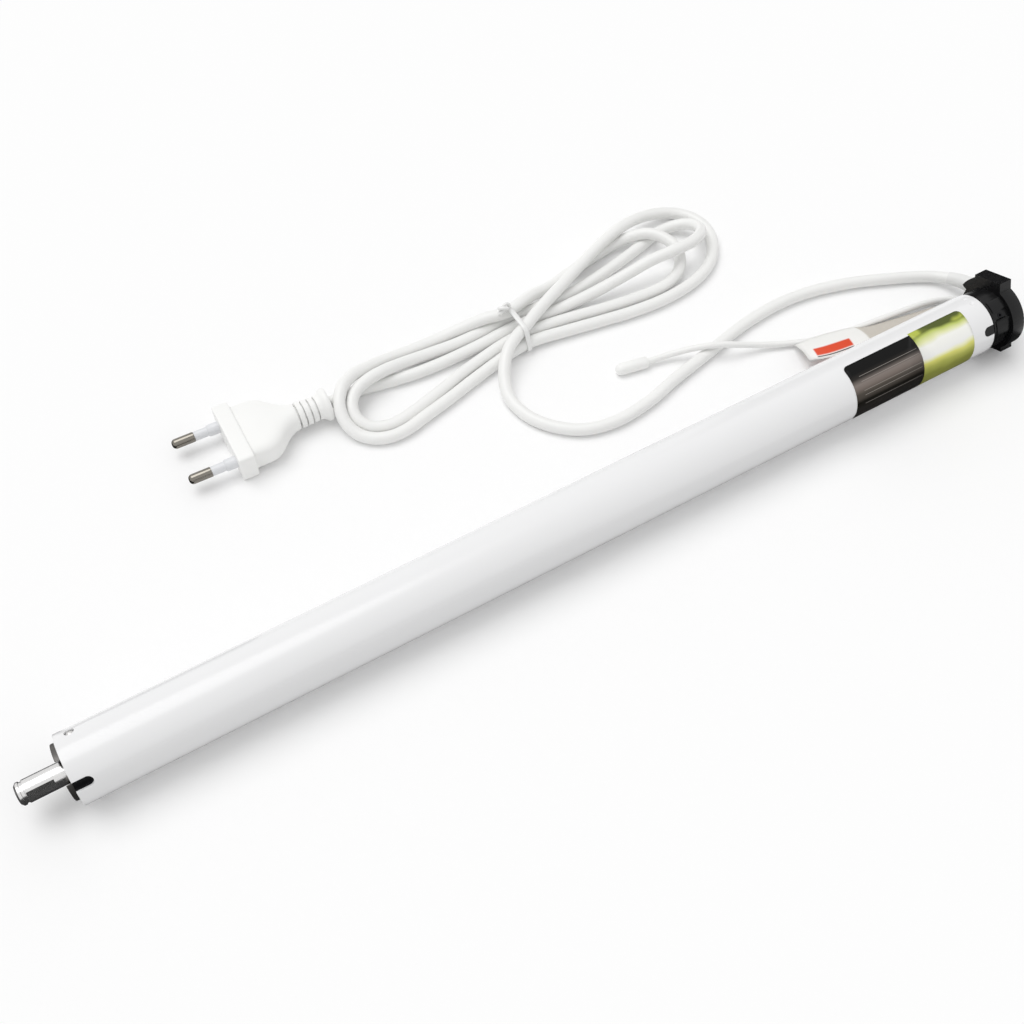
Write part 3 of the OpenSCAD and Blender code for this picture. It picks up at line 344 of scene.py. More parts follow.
FINISH = {
    "white_coat": plain_finish("gloss_white_coat", (0.85, 0.85, 0.855), 0.2, 520.0, 0.01, 0.02),
    "dark_zinc": plain_finish("dark_cast_zinc", (0.12, 0.115, 0.11), 0.4, 650.0, 0.03, 0.2, metallic=0.8),
    "steel": turned_metal("bright_steel", (0.62, 0.61, 0.6), 0.26),
    "dark_steel": turned_metal("blackened_steel", (0.02, 0.02, 0.022), 0.4),
    "bronze": turned_metal("sintered_bronze", (0.5, 0.33, 0.16), 0.4),
    "polished_steel": turned_metal("polished_steel", (0.72, 0.715, 0.71), 0.22, 1400.0, 0.0003),
    "gear_steel": turned_metal("oiled_gear_steel", (0.38, 0.38, 0.39), 0.32),
    "gear_nylon": plain_finish("natural_nylon", (0.76, 0.72, 0.6), 0.45),
    "brake_lining": plain_finish("brake_lining", (0.1, 0.06, 0.04), 0.8, 500.0, 0.1, 0.4, 0.5),
    "core_iron": striped("stacked_core_iron", (0.2, 0.2, 0.205), (0.05, 0.05, 0.05), 0.5, 320.0, 0.8),
    "coil_copper": striped("wound_copper", (0.6, 0.25, 0.08), (0.2, 0.06, 0.02), 0.35, 400.0, 0.8),
    "magnet_grey": plain_finish("sintered_magnet", (0.07, 0.07, 0.075), 0.5, 800.0, 0.03, 0.2, metallic=0.4),
    "grey_plastic": plain_finish("grey_tray_plastic", (0.24, 0.24, 0.24), 0.5),
    "white_plastic": plain_finish("white_can_plastic", (0.82, 0.82, 0.8), 0.3),
    "green_board": board_finish("green_board"),
    "blue_plastic": plain_finish("blue_relay_plastic", (0.02, 0.06, 0.34), 0.3),
    "green_plastic": plain_finish("green_terminal_plastic", (0.02, 0.22, 0.05), 0.4),
    "red_wire": plain_finish("red_wire_sheath", (0.45, 0.02, 0.015), 0.4),
    "black_plastic": plain_finish("satin_black_plastic", (0.005, 0.005, 0.0055), 0.3, 1000.0, 0.02, 0.2,
                                  shine=0.25),
    "white_rubber": plain_finish("white_sleeve_rubber", (0.82, 0.82, 0.81), 0.5),
    "dark_film": dark_film("dark_label_film"),
    "light_film": light_film("light_label_film"),
    "cord_white": plain_finish("white_cord_sheath", (0.89, 0.89, 0.875), 0.4, 700.0, 0.03, 0.05),
    "tie_white": plain_finish("white_tie_coating", (0.86, 0.86, 0.85), 0.25),
    "plug_white": plain_finish("white_plug_plastic", (0.92, 0.92, 0.905), 0.38, 800.0, 0.02, 0.04),
    # The pins' colour is darkened well below bright nickel: a painted dark reflection
    "pin_nickel": turned_metal("nickel_pin", (0.22, 0.205, 0.18), 0.16, 1200.0, 0.0003),
    "sleeve_white": plain_finish("pin_sleeve_plastic", (0.74, 0.75, 0.77), 0.3),
    "flag_paper": flag_card("flag_card"),
}

for part in frame["record"]["subparts"]:
    node = frame["nodes"][part["node"]]
    node.data.materials.clear()
    node.data.materials.append(FINISH[part["material_slot"]])

# Piece helpers

MERGE = 1e-7


def new_object(name, bm):
    """Makes an object of a bmesh and frees the bmesh."""
    mesh = bpy.data.meshes.new(name)
    bm.to_mesh(mesh)
    bm.free()
    thing = bpy.data.objects.new(name, mesh)
    bpy.context.collection.objects.link(thing)
    return thing


def finish_piece(name, bm, slot, body="motor", crease=40.0):
    """Makes an object of a bmesh, smooths it up to a crease angle and joins it to its body."""
    piece = new_object(name, bm)
    piece.data.materials.append(FINISH[slot])
    piece.data.shade_smooth()
    piece.data.set_sharp_from_angle(angle=math.radians(crease))
    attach(piece, body)
    return piece


def soften(piece, width, limit, segments=2):
    """Rounds edges sharper than a limit in degrees by a width in millimetres."""
    edge = piece.modifiers.new("edge", "BEVEL")
    edge.width = width * MM
    edge.segments = segments
    edge.limit_method = "ANGLE"
    edge.angle_limit = math.radians(limit)
    return edge


def turned(profile, steps):
    """A solid of revolution round X from (x, radius) pairs in millimetres, at the origin."""
    bm = bmesh.new()
    verts = [bm.verts.new((x * MM, 0, r * MM)) for x, r in profile]
    edges = [bm.edges.new(pair) for pair in zip(verts, verts[1:])]
    bmesh.ops.spin(bm, geom=verts + edges, cent=(0, 0, 0), axis=(1, 0, 0), angle=math.tau, steps=steps,
                   use_merge=True)
    bmesh.ops.remove_doubles(bm, verts=bm.verts, dist=MERGE)
    bmesh.ops.recalc_face_normals(bm, faces=bm.faces)
    return bm


def place(bm, matrix):
    bmesh.ops.transform(bm, matrix=matrix, verts=bm.verts)
    return bm


def join(bm, part):
    """Adds another bmesh to a bmesh and frees it."""
    mesh = bpy.data.meshes.new("part")
    part.to_mesh(mesh)
    part.free()
    bm.from_mesh(mesh)
    bpy.data.meshes.remove(mesh)


def skin_rings(bm, rings):
    """Fills in faces between each ring of verts and the next."""
    for one, two in zip(rings, rings[1:]):
        sides = len(one)
        for i in range(sides):
            bm.faces.new((one[i], one[(i + 1) % sides], two[(i + 1) % sides], two[i]))


# Cord routes

EXIT_X = 392.8 + 5.2 - X_MID
LEAD_ROUTE = [
    (EXIT_X, 4, 8.2), (EXIT_X, 10, 8.2), (EXIT_X, 16, 8.2), (EXIT_X, 19, 8), (204.2, 24, 6.7),
    (202.6, 29, 4.7), (199, 34, 3.1), (192, 38.5, 2.6), (182, 43, 2.6), (167, 49, 2.6), (150, 53.5, 2.6),
    (133, 55, 2.6), (113, 53, 2.6), (92, 48, 2.6), (71, 43, 2.6), (57, 39, 2.6), (41, 37, 2.6),
    (27.5, 39.5, 2.6), (17.5, 46.5, 2.6), (11, 56, 2.6),
]
# The tied hank, from where the lead climbs over its waist to the plug
HANK_ROUTE = [
    (8.8, 66, 3), (10, 73, 4.6), (13.5, 79.8, 7), (18.5, 85.4, 8.7), (24, 89.2, 9), (30.5, 92.4, 9),
    (37, 96, 8.9), (45.5, 100.3, 8.7), (56.5, 105.5, 8.3), (69.5, 111.5, 8.2), (84, 117.6, 8.4),
    (98, 122, 8), (112, 124.3, 5.2), (123.5, 122, 2.9), (130, 115, 2.6), (131.5, 105.5, 2.6),
    (127.5, 96, 2.6), (119.5, 88, 2.6), (108, 83.2, 2.6), (93, 81.2, 2.6), (77.5, 81.9, 2.6),
    (61, 84.4, 2.6), (45, 86.9, 2.9), (36, 88.1, 3.3), (29, 88.4, 3.5), (21, 87.6, 3.3), (11, 85.6, 2.8),
    (0, 82.9, 2.6), (-12, 79.6, 2.6), (-24.5, 76.6, 2.6), (-33, 74.6, 2.6), (-40, 74.5, 2.6),
    (-46.2, 76.8, 2.6), (-51, 81.4, 3.2), (-53.5, 87.5, 5.6), (-52.6, 94, 8.9), (-48.4, 99.8, 10.8),
    (-43, 103.4, 10.1), (-38, 105.4, 8.6), (-26.5, 108.4, 5), (-15.5, 109.4, 2.9), (-1.5, 109.2, 2.7),
    (10, 108.1, 4.6), (19, 105.2, 8), (27.3, 103, 8.7), (35.5, 104.8, 8.6), (44, 108.6, 5.6),
    (54, 111.2, 2.8), (66, 114.2, 2.6), (80, 117, 2.7), (90, 118.4, 3), (98, 117, 5.2),
    (104.6, 112.6, 7.8), (109, 106, 8), (110.4, 99.4, 6.8), (108.4, 93.6, 5), (103.4, 89.4, 3.5),
    (95, 87.4, 2.6), (83, 87.6, 2.6), (68, 89.4, 2.6), (52, 91.9, 2.8), (40, 93.2, 3.2),
    (28.4, 93.5, 3.5), (20, 92.8, 3.3), (10, 91.1, 2.8), (-1, 88.5, 2.6), (-12, 85.1, 2.6),
    (-22.5, 82.2, 2.6), (-32, 80, 2.6), (-39.2, 79.9, 2.6), (-45, 82.4, 3), (-48.4, 87.2, 4.4),
    (-48, 92.8, 6.6), (-44.2, 97.3, 7.9), (-38, 100, 8.2), (-30, 101.5, 7.7), (-21.5, 102.8, 5.8),
    (-10.5, 103.6, 3.6), (4.5, 103.2, 2.7), (17, 103.4, 3.1), (27.2, 103.7, 3.5), (36, 103.9, 3.2),
    (45, 103.5, 2.8), (56, 103.4, 2.6), (71.5, 105.3, 2.6), (86.5, 108.5, 2.6), (100, 112, 2.6),
    (109, 114.6, 2.6), (116, 115.2, 3), (122, 112.6, 4.8), (124.8, 107.4, 7.4), (124, 101.8, 9.8),
    (119.6, 97.6, 11.6), (113, 95.4, 12.4), (105, 95.2, 12.4), (95, 96.4, 10.8), (83.5, 97, 8),
    (68.5, 97.2, 5.4), (53, 97.8, 3.6), (40, 98.5, 3.3), (27.8, 98.6, 3.5), (20, 98.1, 3.3),
    (12, 97.7, 2.8), (-3, 97.3, 2.6), (-17.5, 97.8, 2.6), (-29.5, 99.6, 2.6), (-40, 101.4, 2.6),
    (-45.5, 101.2, 3.4), (-50.3, 99.6, 5.2),
]
AERIAL_ROUTE = [
    (EXIT_X, -0.5, 6.1), (EXIT_X, 1, 4.6), (EXIT_X, 2.5, 3.1), (EXIT_X, 3.7, 2.25),
    (EXIT_X - 0.1, 5.4, 1.9), (EXIT_X - 0.6, 9, 1.9), (EXIT_X - 1.7, 13.5, 1.9), (200, 19, 1.9),
    (194, 22.8, 1.9), (186, 25, 1.9), (174, 26.4, 1.9), (160, 27.7, 1.9), (146, 29.2, 1.9),
    (133, 32, 1.9), (122, 36.3, 1.9), (113, 39.8, 2.8), (104.5, 42.6, 5), (97, 45.4, 6.7),
    (90, 48.6, 6.6), (83.5, 51.8, 5), (77.5, 54.2, 3.4), (72, 55.4, 2.7), (67, 56.3, 2.5),
]
HANK_PLACE = Vector((28, 97, 0))
HANK_TURN = math.radians(6.5)
HANK_ALONG = Vector((math.cos(HANK_TURN), math.sin(HANK_TURN), 0))
HANK_ACROSS = Vector((-math.sin(HANK_TURN), math.cos(HANK_TURN), 0))
TIE_T, TIE_W = 0.9, 2.3
PLUG_PLACE = Vector((-97.4, 100, 6.5))
PLUG_TURN = math.radians(-2)
PLUG_BACK = Vector((math.cos(PLUG_TURN), math.sin(PLUG_TURN), 0))
PLUG_LEN = 42.0


def on_hank(along, across, z):
    return HANK_PLACE + HANK_ALONG * along + HANK_ACROSS * across + Vector((0, 0, z))


def smooth_route(points, step):
    """Points about step apart on a smooth curve through a route."""
    points = [Vector(p) for p in points]
    ends = [2 * points[0] - points[1], *points, 2 * points[-1] - points[-2]]
    out = []
    for a, b, c, d in zip(ends, ends[1:], ends[2:], ends[3:]):
        count = max(1, round((c - b).length / step))
        for k in range(count):
            u = k / count
            out.append(b + (c - a) * (u / 2) + (2 * a - 5 * b + 4 * c - d) * (u * u / 2)
                       + (3 * b - a - 3 * c + d) * (u ** 3 / 2))
    return out + [points[-1]]


def cord_curve(name, points, diameter, slot, closed=False, roundness=5):
    """A round cord along points in millimetres, as one curve, open with capped ends or closed."""
    data = bpy.data.curves.new(name, "CURVE")
    data.dimensions = "3D"
    data.bevel_depth = diameter / 2 * MM
    data.bevel_resolution = roundness
    data.use_fill_caps = not closed
    spline = data.splines.new("POLY")
    spline.points.add(len(points) - 1)
    spline.use_cyclic_u = closed
    for point, where in zip(spline.points, points):
        point.co = (*(where * MM), 1)
    spline.use_smooth = True
    piece = bpy.data.objects.new(name, data)
    bpy.context.collection.objects.link(piece)
    data.materials.append(FINISH[slot])
    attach(piece, "motor")
    return piece


relief_end = PLUG_PLACE + PLUG_BACK * PLUG_LEN
cord_line = smooth_route(LEAD_ROUTE + HANK_ROUTE + [relief_end], 2.0)
mains_cord = cord_curve("mains_cord", cord_line, CORD_D, "cord_white")
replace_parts(mains_cord, "cord_lead", "cord_hank", "cord_tail")

aerial_line = smooth_route(AERIAL_ROUTE, 1.5)
aerial = cord_curve("aerial", aerial_line, AERIAL_D, "cord_white")
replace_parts(aerial, "aerial_wire")

# Sleeve of the lead at the head


def ring_along(bm, line, k, radius, sides):
    """Verts of a ring square to a line of millimetre points, at its k-th point."""
    ahead = (line[min(k + 1, len(line) - 1)] - line[max(k - 1, 0)]).normalized()
    side = ahead.cross(Vector((0, 0, 1))).normalized()
    rise = side.cross(ahead)
    turns = [math.tau * i / sides for i in range(sides)]
    return [bm.verts.new((line[k] + (side * math.cos(t) + rise * math.sin(t)) * radius) * MM) for t in turns]


def make_sleeve():
    """A soft sleeve that tapers along the lead from inside the outlet."""
    length, seat, radius, taper, step = 26.0, 5.7, 3.58, 0.9, 0.5
    line = smooth_route(LEAD_ROUTE[:8], step)
    bm = bmesh.new()
    rings = []
    for k in range(int(length / step) + 1):
        free = max(0.0, k * step - seat)
        rings.append(ring_along(bm, line, k, radius - taper * free / (length - seat), 32))
    skin_rings(bm, rings)
    bmesh.ops.contextual_create(bm, geom=rings[0])
    bmesh.ops.contextual_create(bm, geom=rings[-1])
    bmesh.ops.recalc_face_normals(bm, faces=bm.faces)
    return finish_piece("lead_sleeve", bm, "white_rubber")


lead_sleeve = make_sleeve()
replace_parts(lead_sleeve, "cord_gland")

# Tie round the hank's waist

# Strands at the waist: how far across the hank, and how high
WAIST = [(-8.6, 3.5), (-3.5, 3.5), (1.6, 3.5), (6.7, 3.5), (6.1, 8.7), (-6, 9)]


def make_tie():
    """A flat coated wire, drawn once round the strands at the waist, a little askew."""
    gap, shift, skew, steps, sides = 0.05, 0.8, 0.1, 40, 12
    reach = CORD_D / 2 + gap + TIE_T / 2
    spots = []
    for across, z in WAIST:
        for k in range(steps):
            turn = math.tau * k / steps
            spots.append(Vector((across + reach * math.cos(turn), z + reach * math.sin(turn))))
    loop = [spots[k] for k in convex_hull_2d(spots)]
    bm = bmesh.new()
    rings = []
    for k, spot in enumerate(loop):
        out = (loop[(k + 1) % len(loop)] - loop[k - 1]).normalized()
        out = Vector((out[1], -out[0]))
        section = []
        for i in range(sides):
            turn = math.tau * i / sides
            thick = TIE_T / 2 * math.sin(turn)
            along = TIE_W / 2 * math.cos(turn) + shift + skew * spot[0]
            across = spot[0] + out[0] * thick
            height = spot[1] + out[1] * thick
            section.append(bm.verts.new(on_hank(along, across, height) * MM))
        rings.append(section)
    skin_rings(bm, rings + rings[:1])
    bmesh.ops.recalc_face_normals(bm, faces=bm.faces)
    return finish_piece("hank_tie_band", bm, "tie_white", crease=60.0)


def make_tie_ends():
    """The tie's two ends, drawn into a small tight knot."""
    wire, middle, swing, steps = 1.5, 1.7, 0.95, 120
    root = on_hank(-1.4, 5.2, 13)
    out = (HANK_ACROSS + Vector((0, 0, 0.5))).normalized()
    rise = HANK_ALONG.cross(out)
    points = []
    for k in range(steps):
        turn = math.tau * k / steps
        reach = middle + swing * math.cos(3 * turn)
        where = root + (HANK_ALONG * math.cos(2 * turn) + rise * math.sin(2 * turn)) * reach
        points.append(where + out * math.sin(3 * turn))
    return cord_curve("hank_tie_ends", points, wire, "tie_white", closed=True, roundness=4)


tie_band = make_tie()
tie_ends = make_tie_ends()
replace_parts(tie_band, "hank_tie")

# Plug

PLUG_MATRIX = Matrix.Translation(PLUG_PLACE * MM) @ Matrix.Rotation(PLUG_TURN, 4, "Z")
PLUG_PITCH, PLUG_PIN_R, PLUG_PIN_L, PLUG_SLEEVE_L, PLUG_BOSS_L = 18.6, 2.0, 19.0, 10.0, 4.5
# Stations of the plug's shell: x, half width, half height, and how square the section is
PLUG_SHELL = [
    (0.0, 14.2, 5.8, 14), (0.0, 14.5, 6.1, 14), (0.15, 14.85, 6.4, 14), (0.5, 15.0, 6.5, 14),
    (5.9, 15.0, 6.5, 14), (6.3, 14.9, 6.4, 14), (6.45, 14.5, 6.1, 12), (6.5, 13.6, 5.8, 8),
    (6.6, 13.2, 5.7, 6), (9.0, 13.5, 5.75, 5), (12.0, 13.7, 5.8, 4.5), (15.0, 13.4, 5.8, 4.2),
    (17.4, 12.3, 5.75, 3.8), (19.4, 10.6, 5.65, 3.4), (21.6, 8.3, 5.5, 3), (23.8, 6.6, 5.35, 2.6),
    (26.0, 5.7, 5.25, 2.2), (28.3, 5.4, 5.2, 2), (28.5, 5.0, 5.0, 2), (28.5, 3.4, 3.4, 2),
]


def make_plug_shell():
    """One skin drawn back from the flange, section by section, to the round neck."""
    sides = 48
    bm = bmesh.new()
    first = bmesh.ops.create_circle(bm, segments=sides, radius=1.0)["verts"]
    turns = [math.atan2(v.co.y, v.co.x) for v in first]
    edges = list(bm.edges)
    bmesh.ops.contextual_create(bm, geom=first)
    loops, ring = [list(first)], edges
    for _ in PLUG_SHELL[1:]:
        grown = bmesh.ops.extrude_edge_only(bm, edges=ring)["geom"]
        moved = [e for e in grown if isinstance(e, bmesh.types.BMEdge)]
        verts = [v for v in grown if isinstance(v, bmesh.types.BMVert)]
        order = []
        for old in loops[-1]:
            order.append(next(e.other_vert(old) for e in old.link_edges if e.other_vert(old) in verts))
        loops.append(order)
        ring = [e for e in moved if all(v in verts for v in e.verts)]
    bmesh.ops.contextual_create(bm, geom=loops[-1])
    for verts, (x, wide, high, square) in zip(loops, PLUG_SHELL):
        for v, turn in zip(verts, turns):
            c, s = math.cos(turn), math.sin(turn)
            c = math.copysign(abs(c) ** (2 / square), c)
            s = math.copysign(abs(s) ** (2 / square), s)
            v.co = Vector((x, wide * c, high * s)) * MM
    bmesh.ops.recalc_face_normals(bm, faces=bm.faces)
    shell = finish_piece("plug_shell", place(bm, PLUG_MATRIX), "plug_white", crease=60.0)
    smooth = shell.modifiers.new("round", "SUBSURF")
    smooth.levels = smooth.render_levels = 2
    return shell


def make_plug_relief():
    """Broad ribs with narrow slits between them, then a collar that flares towards the cord."""
    start, ribs, pitch, slit, core = 28.5, 4, 2.6, 0.55, 3.6
    rib_r, thinning, lip, end = 5.25, 0.12, 0.15, PLUG_LEN
    profile = [(start, 0.0)]
    for k in range(ribs):
        x = start + k * pitch
        r = rib_r - thinning * k
        profile += [(x, core), (x + slit, core), (x + slit, r - lip), (x + slit + lip, r)]
        if k < ribs - 1:
            profile += [(x + pitch - lip, r), (x + pitch, r - lip)]
    profile += [(end - 4.2, 5.0), (end - 3.4, 5.3), (end - 2.6, 6.0), (end - 2.0, 6.5), (end - 1.4, 6.7),
                (end - 0.5, 6.65), (end - 0.15, 6.4), (end, 6.0), (end, 3.4), (end - 0.6, 2.6),
                (end - 0.8, 0.0)]
    return finish_piece("plug_ribs", place(turned(profile, 64), PLUG_MATRIX), "plug_white", crease=35.0)


def make_pins():
    """Both pins, each with a blunt nose, and the sleeves round their roots."""
    pins, sleeves = bmesh.new(), bmesh.new()
    r, tip, core, nose, seat = PLUG_PIN_R, PLUG_PIN_L, 1.3, 1.7, 4.5
    bare = tip - PLUG_SLEEVE_L
    turns = [k * math.pi / 12 for k in range(7)]
    metal = [(-tip + nose * (1 - math.cos(turn)), r * math.sin(turn) ** 0.8) for turn in turns]
    metal += [(-tip + bare - 0.15, r), (-tip + bare, r - 0.15), (-tip + bare, core), (seat, core), (seat, 0.0)]
    skin = [(-PLUG_SLEEVE_L, core + 0.02), (-PLUG_SLEEVE_L, r - 0.2), (-PLUG_SLEEVE_L + 0.15, r - 0.1),
            (-PLUG_BOSS_L - 0.2, r - 0.1), (-PLUG_BOSS_L, r + 0.1), (-PLUG_BOSS_L + 0.4, r + 0.36),
            (-0.8, r + 0.4), (0.0, r + 0.4), (0.0, core + 0.02), (-PLUG_SLEEVE_L, core + 0.02)]
    for bm, profile in ((pins, metal), (sleeves, skin)):
        for side in (-1, 1):
            shift = Matrix.Translation((0, side * PLUG_PITCH / 2 * MM, 0))
            join(bm, place(turned(profile, 40), PLUG_MATRIX @ shift))
    return (finish_piece("plug_pin_pair", pins, "pin_nickel"),
            finish_piece("pin_sleeve_pair", sleeves, "sleeve_white"))


plug_shell = make_plug_shell()
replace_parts(plug_shell, "plug_body")
plug_ribs = make_plug_relief()
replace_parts(plug_ribs, "plug_relief")
pin_pair, sleeve_pair = make_pins()
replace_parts(pin_pair, "plug_pins")
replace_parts(sleeve_pair, "plug_sleeves")

# Aerial's end cap and flag


def make_aerial_cap():
    """A blunt cap with a round nose on the wire's end."""
    r, length = 2.5, 14.0
    before, end = Vector(AERIAL_ROUTE[-2]), Vector(AERIAL_ROUTE[-1])
    heading = (end - before).normalized()
    profile = [(0.0, 1.0), (0.0, r - 0.8), (0.25, r - 0.25), (0.9, r)]
    for k in range(6):
        turn = math.radians(15 * k)
        profile.append((length + r * (math.sin(turn) - 1), r * math.cos(turn)))
    profile.append((length, 0.0))
    matrix = Matrix.Translation(end * MM) @ Matrix.Rotation(math.atan2(heading.y, heading.x), 4, "Z")
    return finish_piece("aerial_end_cap", place(turned(profile, 32), matrix), "plug_white")


# The flag's upper and lower edge
FLAG_LINE = [
    (124, 33.5, 2.6), (134, 31.8, 4), (148, 29, 3.8), (157, 26.4, 2.4), (172, 24.4, 1.5), (190, 21.6, 1.2),
]
FLAG_LOW = [(122, 22, 6), (130, 17, 9), (148, 15, 9.5), (172, 15.5, 6), (190, 17, 2.6)]


def make_flag():
    """A card flag whose upper edge runs along the aerial wire, its loose side propped against the tube."""
    bm = bmesh.new()
    columns, rows, bulge, thick = 24, 8, 1.2, 0.25
    uv = bm.loops.layers.uv.new("flat")
    grid = bmesh.ops.create_grid(bm, x_segments=columns, y_segments=rows, size=0.5)["verts"]
    flat = {v: (v.co.x + 0.5, 0.5 - v.co.y) for v in grid}
    high = smooth_route(FLAG_LINE, 1.0)
    low = smooth_route(FLAG_LOW, 1.0)
    for face in bm.faces:
        for loop in face.loops:
            loop[uv].uv = flat[loop.vert]
    for v, (u, w) in flat.items():
        top = high[round(u * (len(high) - 1))]
        foot = low[round(u * (len(low) - 1))]
        v.co = (top.lerp(foot, w) + Vector((0, 0, bulge * math.sin(math.pi * w)))) * MM
    bmesh.ops.recalc_face_normals(bm, faces=bm.faces)
    piece = finish_piece("aerial_flag_card", bm, "flag_paper")
    skin = piece.modifiers.new("card", "SOLIDIFY")
    skin.thickness = thick * MM
    skin.offset = 0.0
    return piece


aerial_cap = make_aerial_cap()
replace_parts(aerial_cap, "aerial_cap")
aerial_flag = make_flag()
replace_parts(aerial_flag, "aerial_flag")

# Tube and labels, cut flat and rolled

WALL_T, DENT_DEPTH = 1.0, 0.45
LABEL_LIFT, LABEL_T, LABEL_CORNER = 0.14, 0.12, 2.2
SCREW_X, SCREW_TURNS = 5.3, (57, 237)


def arc(u, v, radius, first, last, steps=8):
    turns = [math.radians(first + (last - first) * k / steps) for k in range(steps + 1)]
    return [(u + radius * math.cos(t), v + radius * math.sin(t)) for t in turns]


def rolled_sheet(name, slot, x, low, radius, thick, outline, cuts, holes=(), dents=()):
    """A sheet cut to an outline in millimetres, along and round the tube, then rolled to a radius.

    It starts at x along the tube and at the angle low, in degrees. Holes go through and dents are pressed in.
    """
    bm = bmesh.new()
    uv = bm.loops.layers.uv.new("flat")
    rims = []
    for loop in (outline, *holes, *dents):
        verts = [bm.verts.new((u * MM, v * MM, 0)) for u, v in loop]
        for pair in zip(verts, verts[1:] + verts[:1]):
            bm.edges.new(pair)
        rims.append(verts)
    bmesh.ops.triangle_fill(bm, use_beauty=True, edges=bm.edges[:])
    for verts in rims[len(rims) - len(dents):]:
        middle = sum((v.co for v in verts), Vector()) / len(verts)
        deep = bm.verts.new(middle - Vector((0, 0, DENT_DEPTH * MM)))
        for pair in zip(verts, verts[1:] + verts[:1]):
            bm.faces.new((*pair, deep))
    length = max(u for u, v in outline)
    tall = max(v for u, v in outline)
    for k in range(1, cuts):
        bmesh.ops.bisect_plane(bm, geom=bm.verts[:] + bm.edges[:] + bm.faces[:], dist=1e-8,
                               plane_co=(0, tall * k / cuts * MM, 0), plane_no=(0, 1, 0))
    bmesh.ops.recalc_face_normals(bm, faces=bm.faces)
    if sum(face.normal.z for face in bm.faces) < 0:
        bmesh.ops.reverse_faces(bm, faces=bm.faces)
    for face in bm.faces:
        for loop in face.loops:
            loop[uv].uv = (loop.vert.co.x / (length * MM), loop.vert.co.y / (tall * MM))
    for v in bm.verts:
        turn = math.radians(low) + v.co.y / (radius * MM)
        r = radius + v.co.z / MM
        v.co = at(x - X_MID + v.co.x / MM, r * math.cos(turn), AXIS_Z + r * math.sin(turn))
    bmesh.ops.remove_doubles(bm, verts=bm.verts, dist=MERGE)
    bmesh.ops.recalc_face_normals(bm, faces=bm.faces)
    outward = 0.0
    for face in bm.faces:
        middle = face.calc_center_median()
        outward += face.normal.dot(middle - at(middle.x / MM, 0, AXIS_Z))
    if outward < 0:
        bmesh.ops.reverse_faces(bm, faces=bm.faces)
    piece = finish_piece(name, bm, slot, crease=25.0)
    skin = piece.modifiers.new("wall", "SOLIDIFY")
    skin.thickness = thick * MM
    skin.offset = -1.0
    return piece


def make_tube():
    """The tube: a slot open at each end, two screw holes at the shaft end and two punch marks at the head."""
    round_way = math.tau * TUBE_R
    middle, half, mouth_slot, head_slot = round_way / 2, 2.0, 6.4, 4.8
    hole_r, mark_r, mark_in = 1.7, 0.9, 3.5
    seam = 146 - 180
    outline = [(0, 0), (TUBE_L, 0), (TUBE_L, middle - half)]
    outline += arc(TUBE_L - head_slot + half, middle, half, 270, 90, 16)
    outline += [(TUBE_L, middle + half), (TUBE_L, round_way), (0, round_way), (0, middle + half)]
    outline += arc(mouth_slot - half, middle, half, 90, -90, 16)
    outline += [(0, middle - half)]
    spots = [(SCREW_X, math.radians(turn - seam) * TUBE_R) for turn in SCREW_TURNS]
    marks = [(TUBE_L - mark_in, math.radians(turn - seam) * TUBE_R) for turn in (67, 84)]
    holes = [arc(u, v, hole_r, 0, 360, 24)[:-1] for u, v in spots]
    dents = [arc(u, v, mark_r, 0, 360, 16)[:-1] for u, v in marks]
    piece = rolled_sheet("tube_wall", "white_coat", 0, seam, TUBE_R, WALL_T, outline, 120, holes, dents)
    soften(piece, 0.15, 50)
    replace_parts(piece, "motor_tube")


def make_label(name, slot, node, x, length, low, high, corner):
    """A film wrapped round the tube, with two rounded corners at one end; low and high in degrees."""
    radius = TUBE_R + LABEL_LIFT
    tall = math.radians(high - low) * radius
    r = LABEL_CORNER
    if corner == "start":
        outline = [(length, 0), (length, tall)] + arc(r, tall - r, r, 90, 180) + arc(r, r, r, 180, 270)
    else:
        outline = arc(length - r, r, r, 270, 360) + arc(length - r, tall - r, r, 0, 90) + [(0, tall), (0, 0)]
    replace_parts(rolled_sheet(name, slot, x, low, radius, LABEL_T, outline, 48), node)


make_tube()
make_label("dark_label_film", "dark_film", "dark_label", 309.0, 33.0, 86.0, 206.0, "start")
make_label("light_label_film", "light_film", "light_label", 342.0, 25.5, 82.0, 202.0, "end")

# Output shaft

MOUTH = Matrix.Translation(at(-X_MID, 0, AXIS_Z))


